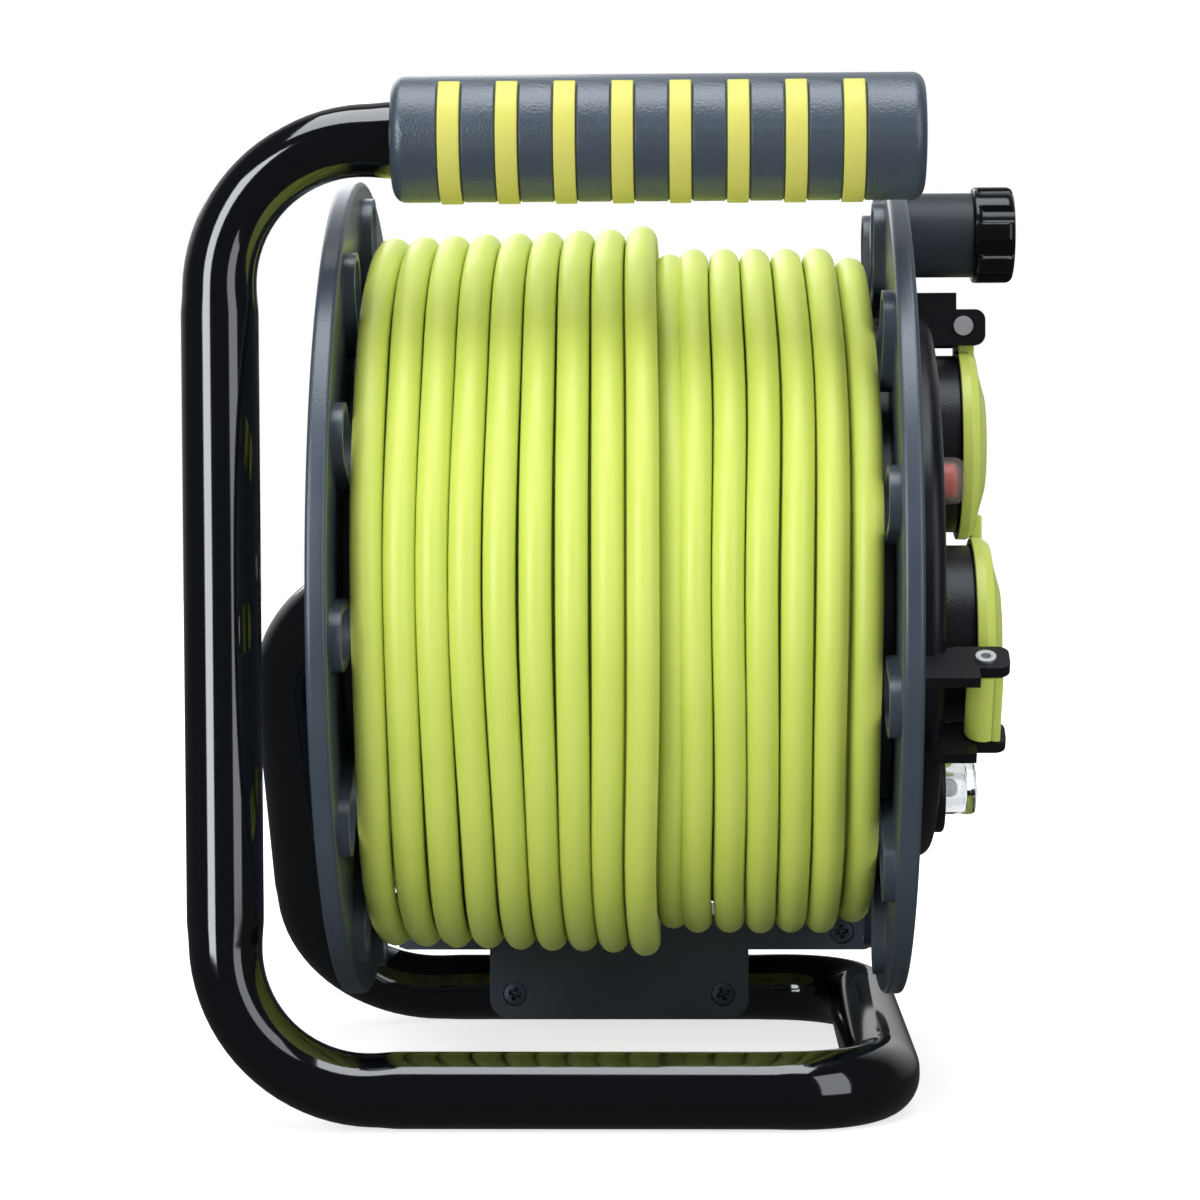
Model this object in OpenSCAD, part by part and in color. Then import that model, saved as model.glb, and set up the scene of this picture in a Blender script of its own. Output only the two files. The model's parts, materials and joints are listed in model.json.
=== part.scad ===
// Extension cord reel: a drum of wound cord turning on a bent steel tube frame,
// with three covered mains sockets, a thermal cut-out and a lamp on its right side.
// X runs along the axle, Y away from the front of the reel, Z up.
// The origin is on the floor, at the middle of the reel's box.

/* [Frame tube] */
// Outer diameter of the frame tube
tube_d = 20; // [16:0.5:24]
// Wall of the frame tube
tube_wall = 1.5; // [1:0.1:2.5]
// Bend radius of the posts, the handle and the riser's foot, on the tube's axis
bend_r = 38; // [36:1:50]
// Bend radius at both ends of the cross tube
cross_bend_r = 25; // [22:1:30]
// Bend radius where the riser turns into the axle
axle_bend_r = 34; // [30:1:40]
// Distance of the front loop in front of the axle
front_y = 80; // [78:1:95]
// Distance of the back rail behind the axle
back_y = 88; // [80:1:95]
// Height of the axle above the rails' axis
rail_drop = 127.5; // [126:0.1:150]
// Height of the handle above the axle
handle_rise = 118.4; // [112:0.1:140]
// Distance of the front post left of the drum's middle
post_x = 102.1; // [100:0.1:115]
// Distance of the riser left of the drum's middle
riser_x = 97; // [96:0.5:110]
// Distance of the cross tube right of the drum's middle
cross_x = 70; // [64:0.5:90]
// Distance of the axle's end right of the drum's middle
axle_end_x = 30; // [24:1:34]

/* [Grip] */
// Outer diameter of the grip
grip_d = 32.4; // [28:0.1:38]
// Length of the grip
grip_len = 136; // [125:1:140]
// Position of the grip's right end from the drum's middle
grip_end_x = 79; // [76:0.5:90]
// Thickness of the grip's closed right end
grip_cap = 8; // [4:0.5:12]
// Rounding of the grip's ends
grip_round = 3.5; // [1:0.5:5]
// Number of inlaid bands
band_count = 8; // [4:1:8]
// Width of a band
band_w = 5.5; // [3:0.1:8]
// Distance between two bands
band_pitch = 14.65; // [12:0.01:15.5]
// Position of the middle of the row of bands from the drum's middle
band_mid_x = 9.4; // [6:0.1:14]
// Angle that a band covers round the grip
band_arc = 290; // [240:1:330]
// Depth of a band in the grip
band_depth = 1.5; // [1:0.1:3]
// Height of a band over the grip
band_proud = 0.5; // [0.2:0.1:1]

/* [Drum] */
// Diameter of the flanges
flange_d = 227.4; // [224:0.2:240]
// Distance between the flanges' inner faces
drum_gap = 143.3; // [141:0.1:144]
// Thickness of a flange's web
web_t = 2.6; // [2:0.1:4]
// Width of a flange's rim along the axle
rim_w = 5.4; // [4.5:0.1:8]
// Thickness of a flange's rim, from its outer edge inward
rim_t = 3.2; // [2:0.1:3.4]
// Outer diameter of the drum's core
core_d = 146; // [140:1:148]
// Wall of the drum's core
core_wall = 2.5; // [2:0.1:4]
// Diameter of the opening in the left flange
left_eye_d = 120; // [100:1:130]
// Diameter of the opening in the right flange
right_eye_d = 128; // [120:1:132]
// Number of slots in a flange
slot_count = 12; // [6:1:12]
// Width of a slot
slot_w = 13; // [8:0.5:15]
// Inner end of a slot, from the axle
slot_r0 = 81; // [80:0.5:86]
// Outer end of a slot, from the axle
slot_r1 = 107; // [100:0.5:107]
// Wall of the collar round a slot
collar_wall = 2; // [1:0.1:2.5]
// Height of the collar round a slot
collar_h = 3; // [1:0.1:3.2]
// Angle of the left flange's first slot, from the front upward
slot_angle_left = 25; // [0:1:29]
// Angle of the right flange's first slot, from the front upward
slot_angle_right = 15; // [13:1:17]

/* [Bearings] */
// Free length of the axle beside the left boss
bend_clear = 3; // [2:0.5:5]
// Axial play of the drum
end_play = 0.5; // [0.2:0.1:1]
// Thickness of a bearing web
hub_web_t = 3; // [2:0.1:5]
// Outer diameter of a bearing boss
boss_d = 32; // [28:0.5:40]
// Length of a bearing boss
boss_len = 18; // [12:0.5:20]
// Wall of a bearing bush
bush_wall = 2; // [1:0.1:3]
// Radial running clearance
run_fit = 0.05; // [0.02:0.01:0.1]
// Diameter of the end washer
washer_d = 30; // [26:0.5:34]
// Thickness of the end washer
washer_t = 2; // [1:0.1:3]
// Diameter of the end bolt
bolt_d = 8; // [6:0.5:10]
// Diameter of the end bolt's head
bolt_head_d = 16; // [13:0.5:20]
// Height of the end bolt's head
bolt_head_h = 5; // [3:0.1:6]
// Length of the inserts in the tube's two ends
insert_len = 20; // [14:0.5:24]
// Length of the spigot between the two tubes
spigot_len = 16; // [10:0.5:18]
// Outer diameter of the axle's collar
collar_ring_d = 28; // [24:0.5:32]
// Length of the axle's collar
collar_ring_len = 4; // [3:0.5:6]
// Number of ribs on a bearing web
hub_rib_count = 6; // [3:1:8]
// Thickness of a bearing web's rib
hub_rib_t = 2.5; // [1.5:0.1:4]
// Height of a bearing web's rib
hub_rib_h = 7; // [4:0.5:8]

/* [Cord] */
// Diameter of the cord
cord_d = 8.4; // [8.2:0.1:8.4]
// Distance between two turns
turn_pitch = 8.467; // [8.45:0.001:8.48]
// Number of turns in the outer layer
turns = 16; // [12:1:16]
// Free space between two turns
turn_gap = 0.45; // [0.42:0.01:0.6]
// Radius of the turns on the right
turn_r_right = 91.3; // [90:0.1:93]
// Radius of the turns on the left
turn_r_left = 95.2; // [93:0.1:96]
// Radius of the turn that rides highest
turn_r_high = 98.4; // [97:0.1:100]
// Radius of the turn that lies lowest
turn_r_low = 90; // [89:0.1:91]
// Position along the axle where the cord goes through the core
gland_x = 60; // [58:0.5:61]
// Angle where the cord goes through the core, from the front upward
gland_angle = 161.5; // [160:0.5:163]
// Diameter of the gland's neck
gland_d = 12.6; // [11:0.1:13]
// Width of the gland's inner flange round its neck
gland_lip = 2.2; // [1:0.1:2.4]
// Distance of the cord's inner end from the axle
tail_r = 49.1; // [48:0.1:51]
// Width of the cord clamp round the hollow
clamp_w = 18; // [14:0.5:20]
// Height of the cord clamp along the axle
clamp_h = 11; // [10:0.1:11.4]
// Length of the cord clamp along the cord
clamp_len = 7; // [5:0.5:10]
// Width of the terminal block across the hollow
block_w = 22; // [18:0.5:24]
// Length of the terminal block
block_l = 16; // [12:0.5:20]
// Height of the terminal block along the axle
block_h = 12; // [9:0.5:12.4]
// Diameter of an inner lead
wire_d = 3; // [2:0.1:3.2]

/* [Socket panel] */
// Diameter of the panel
panel_d = 151.4; // [150:0.2:156]
// Height of the panel over the flange's web
panel_h = 11.1; // [10.5:0.1:14]
// Wall of the panel
panel_wall = 3; // [2:0.1:3.5]
// Rounding of the panel's edge
panel_round = 4; // [3.2:0.1:6]
// Number of sockets
socket_count = 3; // [1:1:3]
// Distance of a socket from the axle, toward its hinge
socket_x = 39.8; // [38:0.1:40]
// Distance of a socket from the axle, along its hinge
socket_y = -8.6; // [-10:0.1:0]
// Angle of the first hinge, from the front upward
hinge_angle = 90; // [88:1:92]
// Diameter of a socket's recess
recess_d = 39.5; // [38:0.1:41]
// Depth of a socket's recess
recess_depth = 17.5; // [16:0.1:18]
// Wall of a socket's cup
cup_wall = 3.2; // [2:0.1:3.5]
// Height of a socket's collar over the panel
socket_rise = 8.3; // [6:0.1:8.4]
// Width of a socket's collar over its cup
collar_lip = 2; // [1:0.1:2.2]
// Thickness of a socket's floor
socket_floor = 3.3; // [2:0.1:4]
// Distance between the two contacts
contact_pitch = 19; // [19:0.1:19.4]
// Diameter of a contact hole
contact_hole_d = 6; // [5:0.1:6.2]
// Length of a contact sleeve
sleeve_len = 16; // [12:0.5:17]
// Outer diameter of a contact sleeve
sleeve_d = 6.8; // [6.4:0.1:7.4]
// Width of an earth clip
clip_w = 5; // [3:0.1:7]
// Thickness of an earth clip
clip_t = 1; // [0.6:0.1:1.2]
// Height of an earth clip over the panel
clip_rise = 2; // [0:0.1:3]

/* [Lids] */
// Diameter of a lid
lid_d = 54; // [52:0.2:54.4]
// Height of a lid
lid_h = 8.3; // [8:0.1:10]
// Wall of a lid
lid_wall = 1.8; // [1.2:0.1:2.2]
// Distance of a lid's hinge from its middle
hinge_out = 33; // [32.8:0.1:34]
// Distance of a hinge's middle from its socket's middle, along the pin
hinge_side = -1.9; // [-2.2:0.1:0]
// Height of the hinge over the panel
hinge_rise = 9.9; // [9.6:0.1:10.4]
// Diameter of the hinge pin
pin_d = 4; // [3:0.1:4.2]
// Diameter of the hinge pin's head
pin_head_d = 5.4; // [4.6:0.1:6.4]
// Thickness of the hinge pin's head
pin_head_t = 0.8; // [0.5:0.1:1.2]
// Outer diameter of the lid's barrel
barrel_d = 9.4; // [8.6:0.1:10]
// Length of the lid's barrel
barrel_len = 20; // [14:0.1:21]
// Thickness of a hinge ear
ear_t = 3; // [2.6:0.1:5]
// Gap at each side of the barrel
barrel_gap = 0.4; // [0.2:0.1:0.6]
// Gap between a lid and its socket's collar
lid_gap = 0.4; // [0.3:0.05:0.6]
// Height of a lid's upright rim
lid_rim_h = 2.8; // [2:0.1:3.4]
// Diameter of a lid's crown
lid_crown_d = 42; // [36:0.5:46]
// Height of a lid's shoulder below its top
lid_shoulder = 2.7; // [1.5:0.1:3.5]
// Distance of the finger tab's end from the lid's middle
tab_out = 30.5; // [29:0.1:31]
// Width of the finger tab
finger_w = 7; // [5:0.1:10]
// Thickness of the finger tab
finger_t = 3; // [2:0.1:3.4]
// Length of the hinge's spring
spring_len = 10; // [8:0.5:12]
// Outer diameter of the hinge's spring
spring_d = 6.2; // [5.6:0.1:6.6]

/* [Cut-out and lamp] */
// Distance of the cut-out from the axle
button_r = 45; // [42:0.5:50]
// Angle of the cut-out, from the front upward
button_angle = 41.5; // [40:0.5:43]
// Outer diameter of the cut-out's clear cap
cap_d = 12.8; // [12:0.1:15]
// Height of the cut-out's clear cap
cap_h = 7.9; // [7:0.1:10]
// Wall of the cut-out's clear cap
cap_wall = 1; // [0.8:0.1:1.2]
// Diameter of the button
button_d = 9.2; // [8:0.1:9.4]
// Height of the button over the panel
button_rise = 5.6; // [4:0.1:5.8]
// Travel of the button
button_travel = 2; // [1:0.1:2.5]
// Distance of the lamp from the axle
lamp_r = 57; // [55:0.5:58]
// Angle of the lamp, from the front upward
lamp_angle = -78.5; // [-80:0.5:-77]
// Diameter of the lamp's base
lamp_base_d = 24.6; // [22:0.2:26]
// Height of the lamp's base
lamp_base_h = 3.7; // [2:0.1:5]
// Diameter of the lens
lens_d = 14.5; // [12:0.1:17]
// Height of the lens
lens_h = 8.8; // [7:0.1:11]
// Wall of the lens
lens_wall = 1.2; // [0.8:0.1:1.6]

/* [Crank] */
// Distance of the crank's middle from the flange's edge
crank_inset = 15.6; // [15.3:0.1:15.7]
// Diameter of the crank's post
post_d = 23.4; // [20:0.1:24.2]
// Height of the crank's post over the web
post_h = 23.3; // [18:0.1:30]
// Diameter of the crank's knob
knob_d = 26.6; // [24:0.1:26.8]
// Length of the crank's knob
knob_len = 11.2; // [10:0.1:20]
// Gap between knob and post
knob_gap = 0.3; // [0.2:0.05:0.6]
// Number of finger hollows in the knob
knob_hollows = 8; // [4:1:10]
// Angle of the crank, from the front upward
crank_angle = 90; // [88:1:92]
// Diameter of the knob's spindle
spindle_d = 8; // [6:0.1:10]
// Diameter of the spindle's head
spindle_head_d = 13; // [11:0.1:14]
// Thickness of the spindle's head
spindle_head_t = 2; // [1:0.1:2.5]
// Depth of the recess for the spindle's head in the knob
knob_recess = 4; // [3:0.1:5]
// Height of the spindle's foot in the post
spindle_foot = 10; // [9.5:0.1:12]
// Diameter of the screw in the crank's post
post_screw_d = 4; // [3:0.1:5]
// Diameter of the head of the crank post's screw
post_screw_head_d = 10; // [8:0.1:11]

/* [Plug and holder] */
// Position of the plug along the axle
plug_x = -50; // [-52:0.5:-49]
// Distance of the plug behind the axle
plug_y = 107; // [107:0.5:112]
// Height of the plug's face below the axle
plug_drop = 91; // [88:0.5:93]
// Diameter of the plug
plug_d = 38; // [36:0.2:39]
// Length of the plug's body
plug_len = 35; // [30:0.5:38]
// Length of the plug's bend relief
relief_len = 20; // [16:0.5:24]
// Diameter of a plug pin
plug_pin_d = 4.8; // [4:0.1:5]
// Length of a plug pin
plug_pin_len = 19; // [18:0.1:19]
// Wall of the holder's cup
holder_wall = 3; // [2:0.1:3.5]
// Depth of the plug in the holder
holder_depth = 5; // [3:0.1:6]
// Length of the holder's bar along the rail
bar_len = 145; // [130:1:146]
// Height of the holder's bar
bar_h = 10.8; // [10:0.1:12]
// Position of the bar's middle from the drum's middle
bar_x = 1.7; // [0:0.1:3]
// Height of the bar's underside above the rail's axis
bar_rise = 13.7; // [13.5:0.1:15]
// Position of the tab's middle from the drum's middle
tab_x = -3.2; // [-5:0.1:0]
// Height of the clamp plate's tab below its bar
tab_drop = 21.2; // [20:0.1:22]
// Rounding of the clamp plate's corners
plate_corner = 3; // [2:0.1:4]
// Reach of the holder's back wall below the rail's axis
back_wall_drop = 7; // [5:0.1:9]
// Diameter of the plug at its cord end
plug_waist_d = 22; // [18:0.2:26]
// Height of the plug's widest part
plug_face_h = 9; // [7:0.1:12]
// Foot diameter of the bend relief
relief_d = 15; // [12:0.1:18]
// Depth of the plug's pins in its body
pin_seat = 14; // [10:0.5:18]
// Width of the plug's earth strips
earth_w = 6; // [4:0.1:8]
// Length of the plug's earth strips
earth_len = 20; // [15:0.5:24]
// Length of the clamp plate's lower tab
tab_len = 79; // [60:1:90]
// Thickness of the clamp plate
plate_t = 4; // [3:0.1:4.5]
// Distance between the two lower screws
tab_screw_pitch = 63.6; // [50:0.1:68]
// Distance between the two upper screws
bar_screw_pitch = 126; // [110:0.5:130]

/* [Screws and fits] */
// Diameter of a screw
screw_d = 3.6; // [3:0.1:4]
// Diameter of a screw's head
screw_head_d = 7; // [6:0.1:7.2]
// Height of a screw's head
screw_head_h = 2.2; // [1.5:0.1:2.4]
// Length of a drum screw
drum_screw_len = 14; // [10:0.5:16]
// Number of drum screws on each side
drum_screw_count = 6; // [3:1:6]
// Angle of the first drum screw, from the front upward
drum_screw_angle = 6.7; // [6:0.1:7.5]
// Distance of the drum screws from the axle
drum_screw_r = 67.5; // [67.3:0.1:67.6]
// Diameter of a panel screw
panel_screw_d = 3; // [2.5:0.1:3.2]
// Diameter of a panel screw's head
panel_screw_head_d = 4.8; // [4:0.1:5]
// Number of panel screws
panel_screw_count = 3; // [2:1:3]
// Angle of the first panel screw, from the front upward
panel_screw_angle = 20; // [19:0.5:21]
// Diameter of a screw's boss
screw_boss_d = 7.4; // [7:0.1:7.4]
// Length of the holder's screw bosses behind the rail
screw_boss_len = 10; // [8:0.5:12]
// Length of the two upper screws
bar_screw_len = 24; // [20:0.5:26]
// Radial room round a screw
screw_fit = 0.05; // [0.03:0.01:0.1]
// Clearance between seated pieces
seat_fit = 0.02; // [0.01:0.01:0.04]
// Gap between the back rail and what clamps it
rail_gap = 0.1; // [0.05:0.05:0.3]

/* [Hidden] */
$fn = 64;
FINE = 96;
tube_r = tube_d / 2;
axle_z = rail_drop + tube_r;
flange_r = flange_d / 2;
web_x = drum_gap / 2;                    // inner face of the right flange
panel_base_x = web_x + web_t;            // outer face of the right flange's web
panel_x = panel_base_x + panel_h;        // outer face of the panel
panel_r = panel_d / 2;
core_r = core_d / 2;
core_in_r = core_r - core_wall;
bush_r = tube_r + run_fit + bush_wall;
bolt_r = bolt_d / 2;
bolt_head_r = bolt_head_d / 2;
knob_end_x = panel_base_x + post_h + knob_gap + knob_len;
crank_r = flange_r - crank_inset;
hub_left_x = -riser_x + axle_bend_r + bend_clear + boss_len / 2;
hub_right_x = axle_end_x - end_play - boss_len / 2;
screw_r = screw_d / 2;
screw_hole_r = screw_r + screw_fit;
screw_head_r = screw_head_d / 2;
panel_screw_r = panel_screw_d / 2;
bar_z = -rail_drop + bar_rise;
holder_r = plug_d / 2 + holder_wall + run_fit;

// The reel's box: left post to knob, flanges or front rail to plug holder
shift_x = (post_x + tube_r - knob_end_x) / 2;
shift_y = (max(flange_r, front_y + tube_r) - plug_y - holder_r) / 2;

tube_split_x = -riser_x + bend_r + spigot_len / 2;   // where the back rail's two tubes meet
riser_tilt = atan2(back_y, rail_drop);
riser_len = norm([back_y, rail_drop]);

// The outer layer of cord
winding_x = turn_pitch * (turns - 1) / 2; // middle of the first turn, on the right
wound_r = (cord_d - turn_gap) / 2;       // radius of the wound tube
core_clear = 0.2;                        // between the outer layer and the layers below
rings_per_turn = 24;
ring_sag = cos(180 / rings_per_turn);    // a straight piece's middle lies this share nearer the axle
wind_start = 1 / 3;                      // the first turn starts under the drum
wind_end_angle = 150;                    // where the last turn leaves the drum
step_start = 15;                         // angle past the turn's start where it steps aside
step_arc = 95;                           // angle that the step takes
tail_gap = 0.3;                          // between the cord's tail and the wound layers

// The cord's free end, from the drum down to the parked plug's bend relief
lead_points = [[-63.5, 99, 18], [-62, 104, 5], [-58, 107, -7], [-53, 107, -18]];
lead_end = [plug_x, plug_y, -plug_drop + plug_len + relief_len];

// Sockets, from the panel's face
wire_x = gland_x - block_h / 2 - 2.5;
wire_starts = [[[3.5, 5.9], [-3.5, 5.9]], [[0, 2.1], [0, -2.1]], [[-3.5, -5.9], [3.5, -5.9]]];
recess_r = recess_d / 2;
cup_r = recess_r + cup_wall;
recess_z = socket_rise - recess_depth;
cup_foot_z = recess_z - socket_floor;
sleeve_foot_x = panel_x + cup_foot_z - sleeve_len;
lid_r = lid_d / 2;
lid_z = socket_rise + lid_gap;
pin_r = pin_d / 2;
ear_y = barrel_len / 2 + barrel_gap;
ear_end_y = ear_y + ear_t;
seal_r = 23;                             // mean radius of a lid's seal
seal_w = 2.4;
seal_h = 1.9;
cutout_body_d = 18;
cutout_body_h = 25;
cutout_neck_r = 5.9;
button_in = 9;                           // length of the button below the panel's face
lamp_stem_r = 5;
lamp_stem_len = 12;
bulb_d = 5;
bulb_foot = -8;
bulb_len = 16;

// ---- places and directions ----

// From the axle's own frame to the reel's frame
module at_axle() translate([shift_x, shift_y, axle_z]) children();

// Local Z along the axle, local X toward an angle counted from the front upward
module facing(angle) rotate([-90 - angle, 0, 0]) rotate([0, 90, 0]) children();

// Local Z along the axle
module along_axle() rotate([0, 90, 0]) children();

// A socket's own frame: origin on its axis at the panel's face, local X toward its hinge
module at_socket(k)
    facing(hinge_angle - 120 * k)
        translate([socket_x, socket_y, panel_x])
            children();

function on_circle(r, angle) = [0, -r * cos(angle), r * sin(angle)];

// ---- general shapes ----

module ring(r_out, r_in, h) {
    difference() {
        cylinder(r = r_out, h = h, $fn = FINE);
        translate([0, 0, -1]) cylinder(r = r_in, h = h + 2, $fn = FINE);
    }
}

// A cylinder with a rounded top edge
module round_top(r, h, round_r) {
    rotate_extrude($fn = FINE) {
        difference() {
            square([r, h]);
            translate([r - round_r, h - round_r]) square([round_r + 1, round_r + 1]);
        }
        intersection() {
            translate([r - round_r, h - round_r]) circle(r = round_r);
            square([r, h]);
        }
    }
}

// A box with rounded corners in its own XY plane, centred on the origin
module round_plate(w, l, h, corner) {
    linear_extrude(h)
        hull()
            for (sx = [-1, 1], sy = [-1, 1])
                translate([sx * (w / 2 - corner), sy * (l / 2 - corner)])
                    circle(r = corner, $fn = 32);
}

// A rod between two points
module rod(a, b, r) {
    d = b - a;
    translate(a)
        rotate([0, acos(d.z / norm(d)), atan2(d.y, d.x)])
            cylinder(r = r, h = norm(d));
}

// A quarter of a bent tube in the XY plane, starting at an angle
module quarter(bend, r, start) {
    rotate([0, 0, start])
        rotate_extrude(angle = 90, $fn = FINE)
            translate([bend, 0]) circle(r = r);
}

module upright() rotate([90, 0, 0]) children();

// ---- frame ----

// A straight length of tube, from a point along a direction turned by angles
module straight(from, turn, len)
    translate(from) rotate(turn)
        difference() {
            cylinder(r = tube_r, h = len);
            translate([0, 0, -1]) cylinder(r = tube_r - tube_wall, h = len + 2);
        }

// A quarter bend in the XY plane round the origin, starting at an angle
module bend(r, start)
    rotate([0, 0, start])
        rotate_extrude(angle = 90, $fn = FINE)
            translate([r, 0])
                difference() {
                    circle(r = tube_r);
                    circle(r = tube_r - tube_wall);
                }

module tube_line() {
    post_top = handle_rise - bend_r;
    post_foot = -rail_drop + bend_r;
    left = -post_x + bend_r;
    right = cross_x - cross_bend_r;
    along_x = [0, 90, 0];
    straight([left, -front_y, handle_rise], along_x, grip_end_x - grip_cap - left);
    translate([left, -front_y, post_top]) upright() bend(bend_r, 90);
    straight([-post_x, -front_y, post_foot], [0, 0, 0], post_top - post_foot);
    translate([left, -front_y, post_foot]) upright() bend(bend_r, 180);
    straight([left, -front_y, -rail_drop], along_x, right - left);
    translate([right, -front_y + cross_bend_r, -rail_drop]) bend(cross_bend_r, -90);
    straight([cross_x, -front_y + cross_bend_r, -rail_drop], [-90, 0, 0],
             front_y + back_y - 2 * cross_bend_r);
    translate([right, back_y - cross_bend_r, -rail_drop]) bend(cross_bend_r, 0);
    straight([tube_split_x, back_y, -rail_drop], along_x, right - tube_split_x);
}

// The riser and the axle, in the plane that leans forward from the back rail
module riser_line() {
    top = riser_len - axle_bend_r;
    axle_x = -riser_x + axle_bend_r;
    straight([-riser_x + bend_r, 0, 0], [0, 90, 0], spigot_len / 2);
    translate([-riser_x + bend_r, 0, bend_r]) upright() bend(bend_r, 180);
    straight([-riser_x, 0, bend_r], [0, 0, 0], top - bend_r);
    translate([axle_x, 0, top]) upright() bend(axle_bend_r, 90);
    straight([axle_x, 0, riser_len], [0, 90, 0], axle_end_x - axle_x);
}

// The two lower screws cross the back rail
module tab_screw_places()
    for (side = [-1, 1])
        translate([tab_x + side * tab_screw_pitch / 2, back_y, -rail_drop])
            rotate([-90, 0, 0])
                children();

module bar_screw_places()
    for (side = [-1, 1])
        translate([bar_x + side * bar_screw_pitch / 2, back_y, bar_z + bar_h / 2])
            rotate([-90, 0, 0])
                children();

module frame_tube() {
    color([0.02, 0.022, 0.025]) at_axle()
        difference() {
            tube_line();
            tab_screw_places()
                translate([0, 0, -tube_d]) cylinder(r = screw_hole_r, h = 2 * tube_d);
        }
}

module riser_tube() {
    color([0.02, 0.022, 0.025]) at_axle()
        translate([0, back_y, -rail_drop]) rotate([riser_tilt, 0, 0]) riser_line();
}

// Joins the two tubes from inside, behind the clamp plate
module tube_spigot() {
    color([0.6, 0.6, 0.62]) at_axle()
        translate([tube_split_x - spigot_len / 2, back_y, -rail_drop]) along_axle()
            cylinder(r = tube_r - tube_wall - seat_fit, h = spigot_len);
}

module grip_arc(r_in, r_out, w, arc) {
    rotate([0, 0, -arc / 2])
        rotate_extrude(angle = arc, $fn = FINE)
            translate([r_in, -w / 2]) square([r_out - r_in, w]);
}

module at_bands()
    for (i = [0 : band_count - 1])
        translate([band_mid_x + (i - (band_count - 1) / 2) * band_pitch, -front_y, handle_rise])
            along_axle()
                children();

module grip() {
    grip_r = grip_d / 2;
    color([0.13, 0.16, 0.2]) at_axle()
        difference() {
            translate([grip_end_x - grip_len, -front_y, handle_rise]) along_axle() {
                translate([0, 0, grip_len / 2]) round_top(grip_r, grip_len / 2, grip_round);
                translate([0, 0, grip_len / 2]) mirror([0, 0, 1])
                    round_top(grip_r, grip_len / 2, grip_round);
            }
            translate([grip_end_x - grip_len, -front_y, handle_rise]) along_axle()
                translate([0, 0, -1])
                    cylinder(r = tube_r + seat_fit, h = grip_len - grip_cap + 1 + seat_fit);
            at_bands()
                grip_arc(grip_r - band_depth, grip_r + 1, band_w, band_arc);
        }
}

module grip_bands() {
    grip_r = grip_d / 2;
    color([0.66, 0.78, 0.2]) at_axle()
        at_bands()
            grip_arc(grip_r - band_depth + seat_fit, grip_r + band_proud,
                     band_w - 2 * seat_fit, band_arc - 0.4);
}

module tube_end_plug() {
    color("black") at_axle()
        translate([grip_end_x - grip_cap - insert_len, -front_y, handle_rise]) along_axle()
            cylinder(r = tube_r - tube_wall - seat_fit, h = insert_len);
}

// ---- clamp plate and plug holder on the back rail ----

module clamp_plate() {
    plate_y = back_y - tube_r - rail_gap - plate_t;
    tab_h = bar_h + tab_drop;
    color([0.13, 0.16, 0.2]) at_axle()
        difference() {
            union() {
                translate([bar_x, plate_y + plate_t, bar_z + bar_h / 2]) upright()
                    round_plate(bar_len, bar_h, plate_t, plate_corner);
                translate([tab_x, plate_y + plate_t, bar_z + bar_h - tab_h / 2]) upright()
                    round_plate(tab_len, tab_h, plate_t, 2 * plate_corner);
            }
            tab_screw_places() screw_cut();
            bar_screw_places() screw_cut();
            translate([cross_x - cross_bend_r, back_y - cross_bend_r, -rail_drop])
                rotate_extrude(angle = 90, $fn = FINE)
                    translate([cross_bend_r, 0]) circle(r = tube_r + rail_gap);
        }
}

// Room for a screw and its sunk head, from the clamp plate's front face
module screw_cut() {
    head_z = -tube_r - rail_gap - plate_t;
    translate([0, 0, head_z - 1]) cylinder(r = screw_head_r + 0.2, h = screw_head_h + 1.3);
    translate([0, 0, head_z]) cylinder(r = screw_hole_r, h = 3 * tube_d);
}

module holder_screws() {
    head_z = -tube_r - rail_gap - plate_t;
    color([0.5, 0.5, 0.52]) at_axle() {
        tab_screw_places() holder_screw(head_z, -head_z + tube_r + screw_boss_len - 2);
        bar_screw_places() holder_screw(head_z, bar_screw_len);
    }
}

module holder_screw(head_z, len) {
    translate([0, 0, head_z + 0.3])
        difference() {
            union() {
                cylinder(r = screw_head_r, h = screw_head_h);
                cylinder(r = screw_r, h = len);
            }
            for (turn = [0, 90])
                rotate([0, 0, turn])
                    translate([-screw_r, -0.4, -1]) cube([2 * screw_r, 0.8, 2]);
        }
}

// The bar lies over the rail behind the clamp plate; the cup holds the parked plug
module plug_holder() {
    front = back_y - tube_r - rail_gap;
    back = back_y + tube_r + rail_gap;
    cup_foot = -plug_drop - plug_pin_len - 1;
    cup_top = -plug_drop + holder_depth;
    color([0.13, 0.16, 0.2]) at_axle()
        difference() {
            union() {
                translate([bar_x - bar_len / 2, front, bar_z])
                    cube([bar_len, back + holder_wall - front, bar_h]);
                translate([tab_x - tab_len / 2, back, -rail_drop - back_wall_drop])
                    cube([tab_len, holder_wall, bar_z + rail_drop + back_wall_drop + 1]);
                tab_screw_places()
                    translate([0, 0, tube_r + rail_gap])
                        cylinder(r = screw_boss_d / 2, h = screw_boss_len);
                translate([plug_x, plug_y, cup_foot])
                    cylinder(r = holder_r, h = cup_top - cup_foot, $fn = FINE);
            }
            translate([plug_x, plug_y, -plug_drop])
                cylinder(r = plug_d / 2 + run_fit, h = holder_depth + 1, $fn = FINE);
            for (side = [-1, 1])
                translate([plug_x + side * contact_pitch / 2, plug_y, cup_foot - 1])
                    cylinder(r = plug_pin_d / 2 + 0.2, h = plug_pin_len + 3);
            tab_screw_places()
                cylinder(r = screw_hole_r, h = tube_r + screw_boss_len + 2);
            bar_screw_places()
                translate([0, 0, -tube_r - 1]) cylinder(r = screw_hole_r, h = bar_screw_len - 2);
        }
}

// ---- axle end ----

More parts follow.
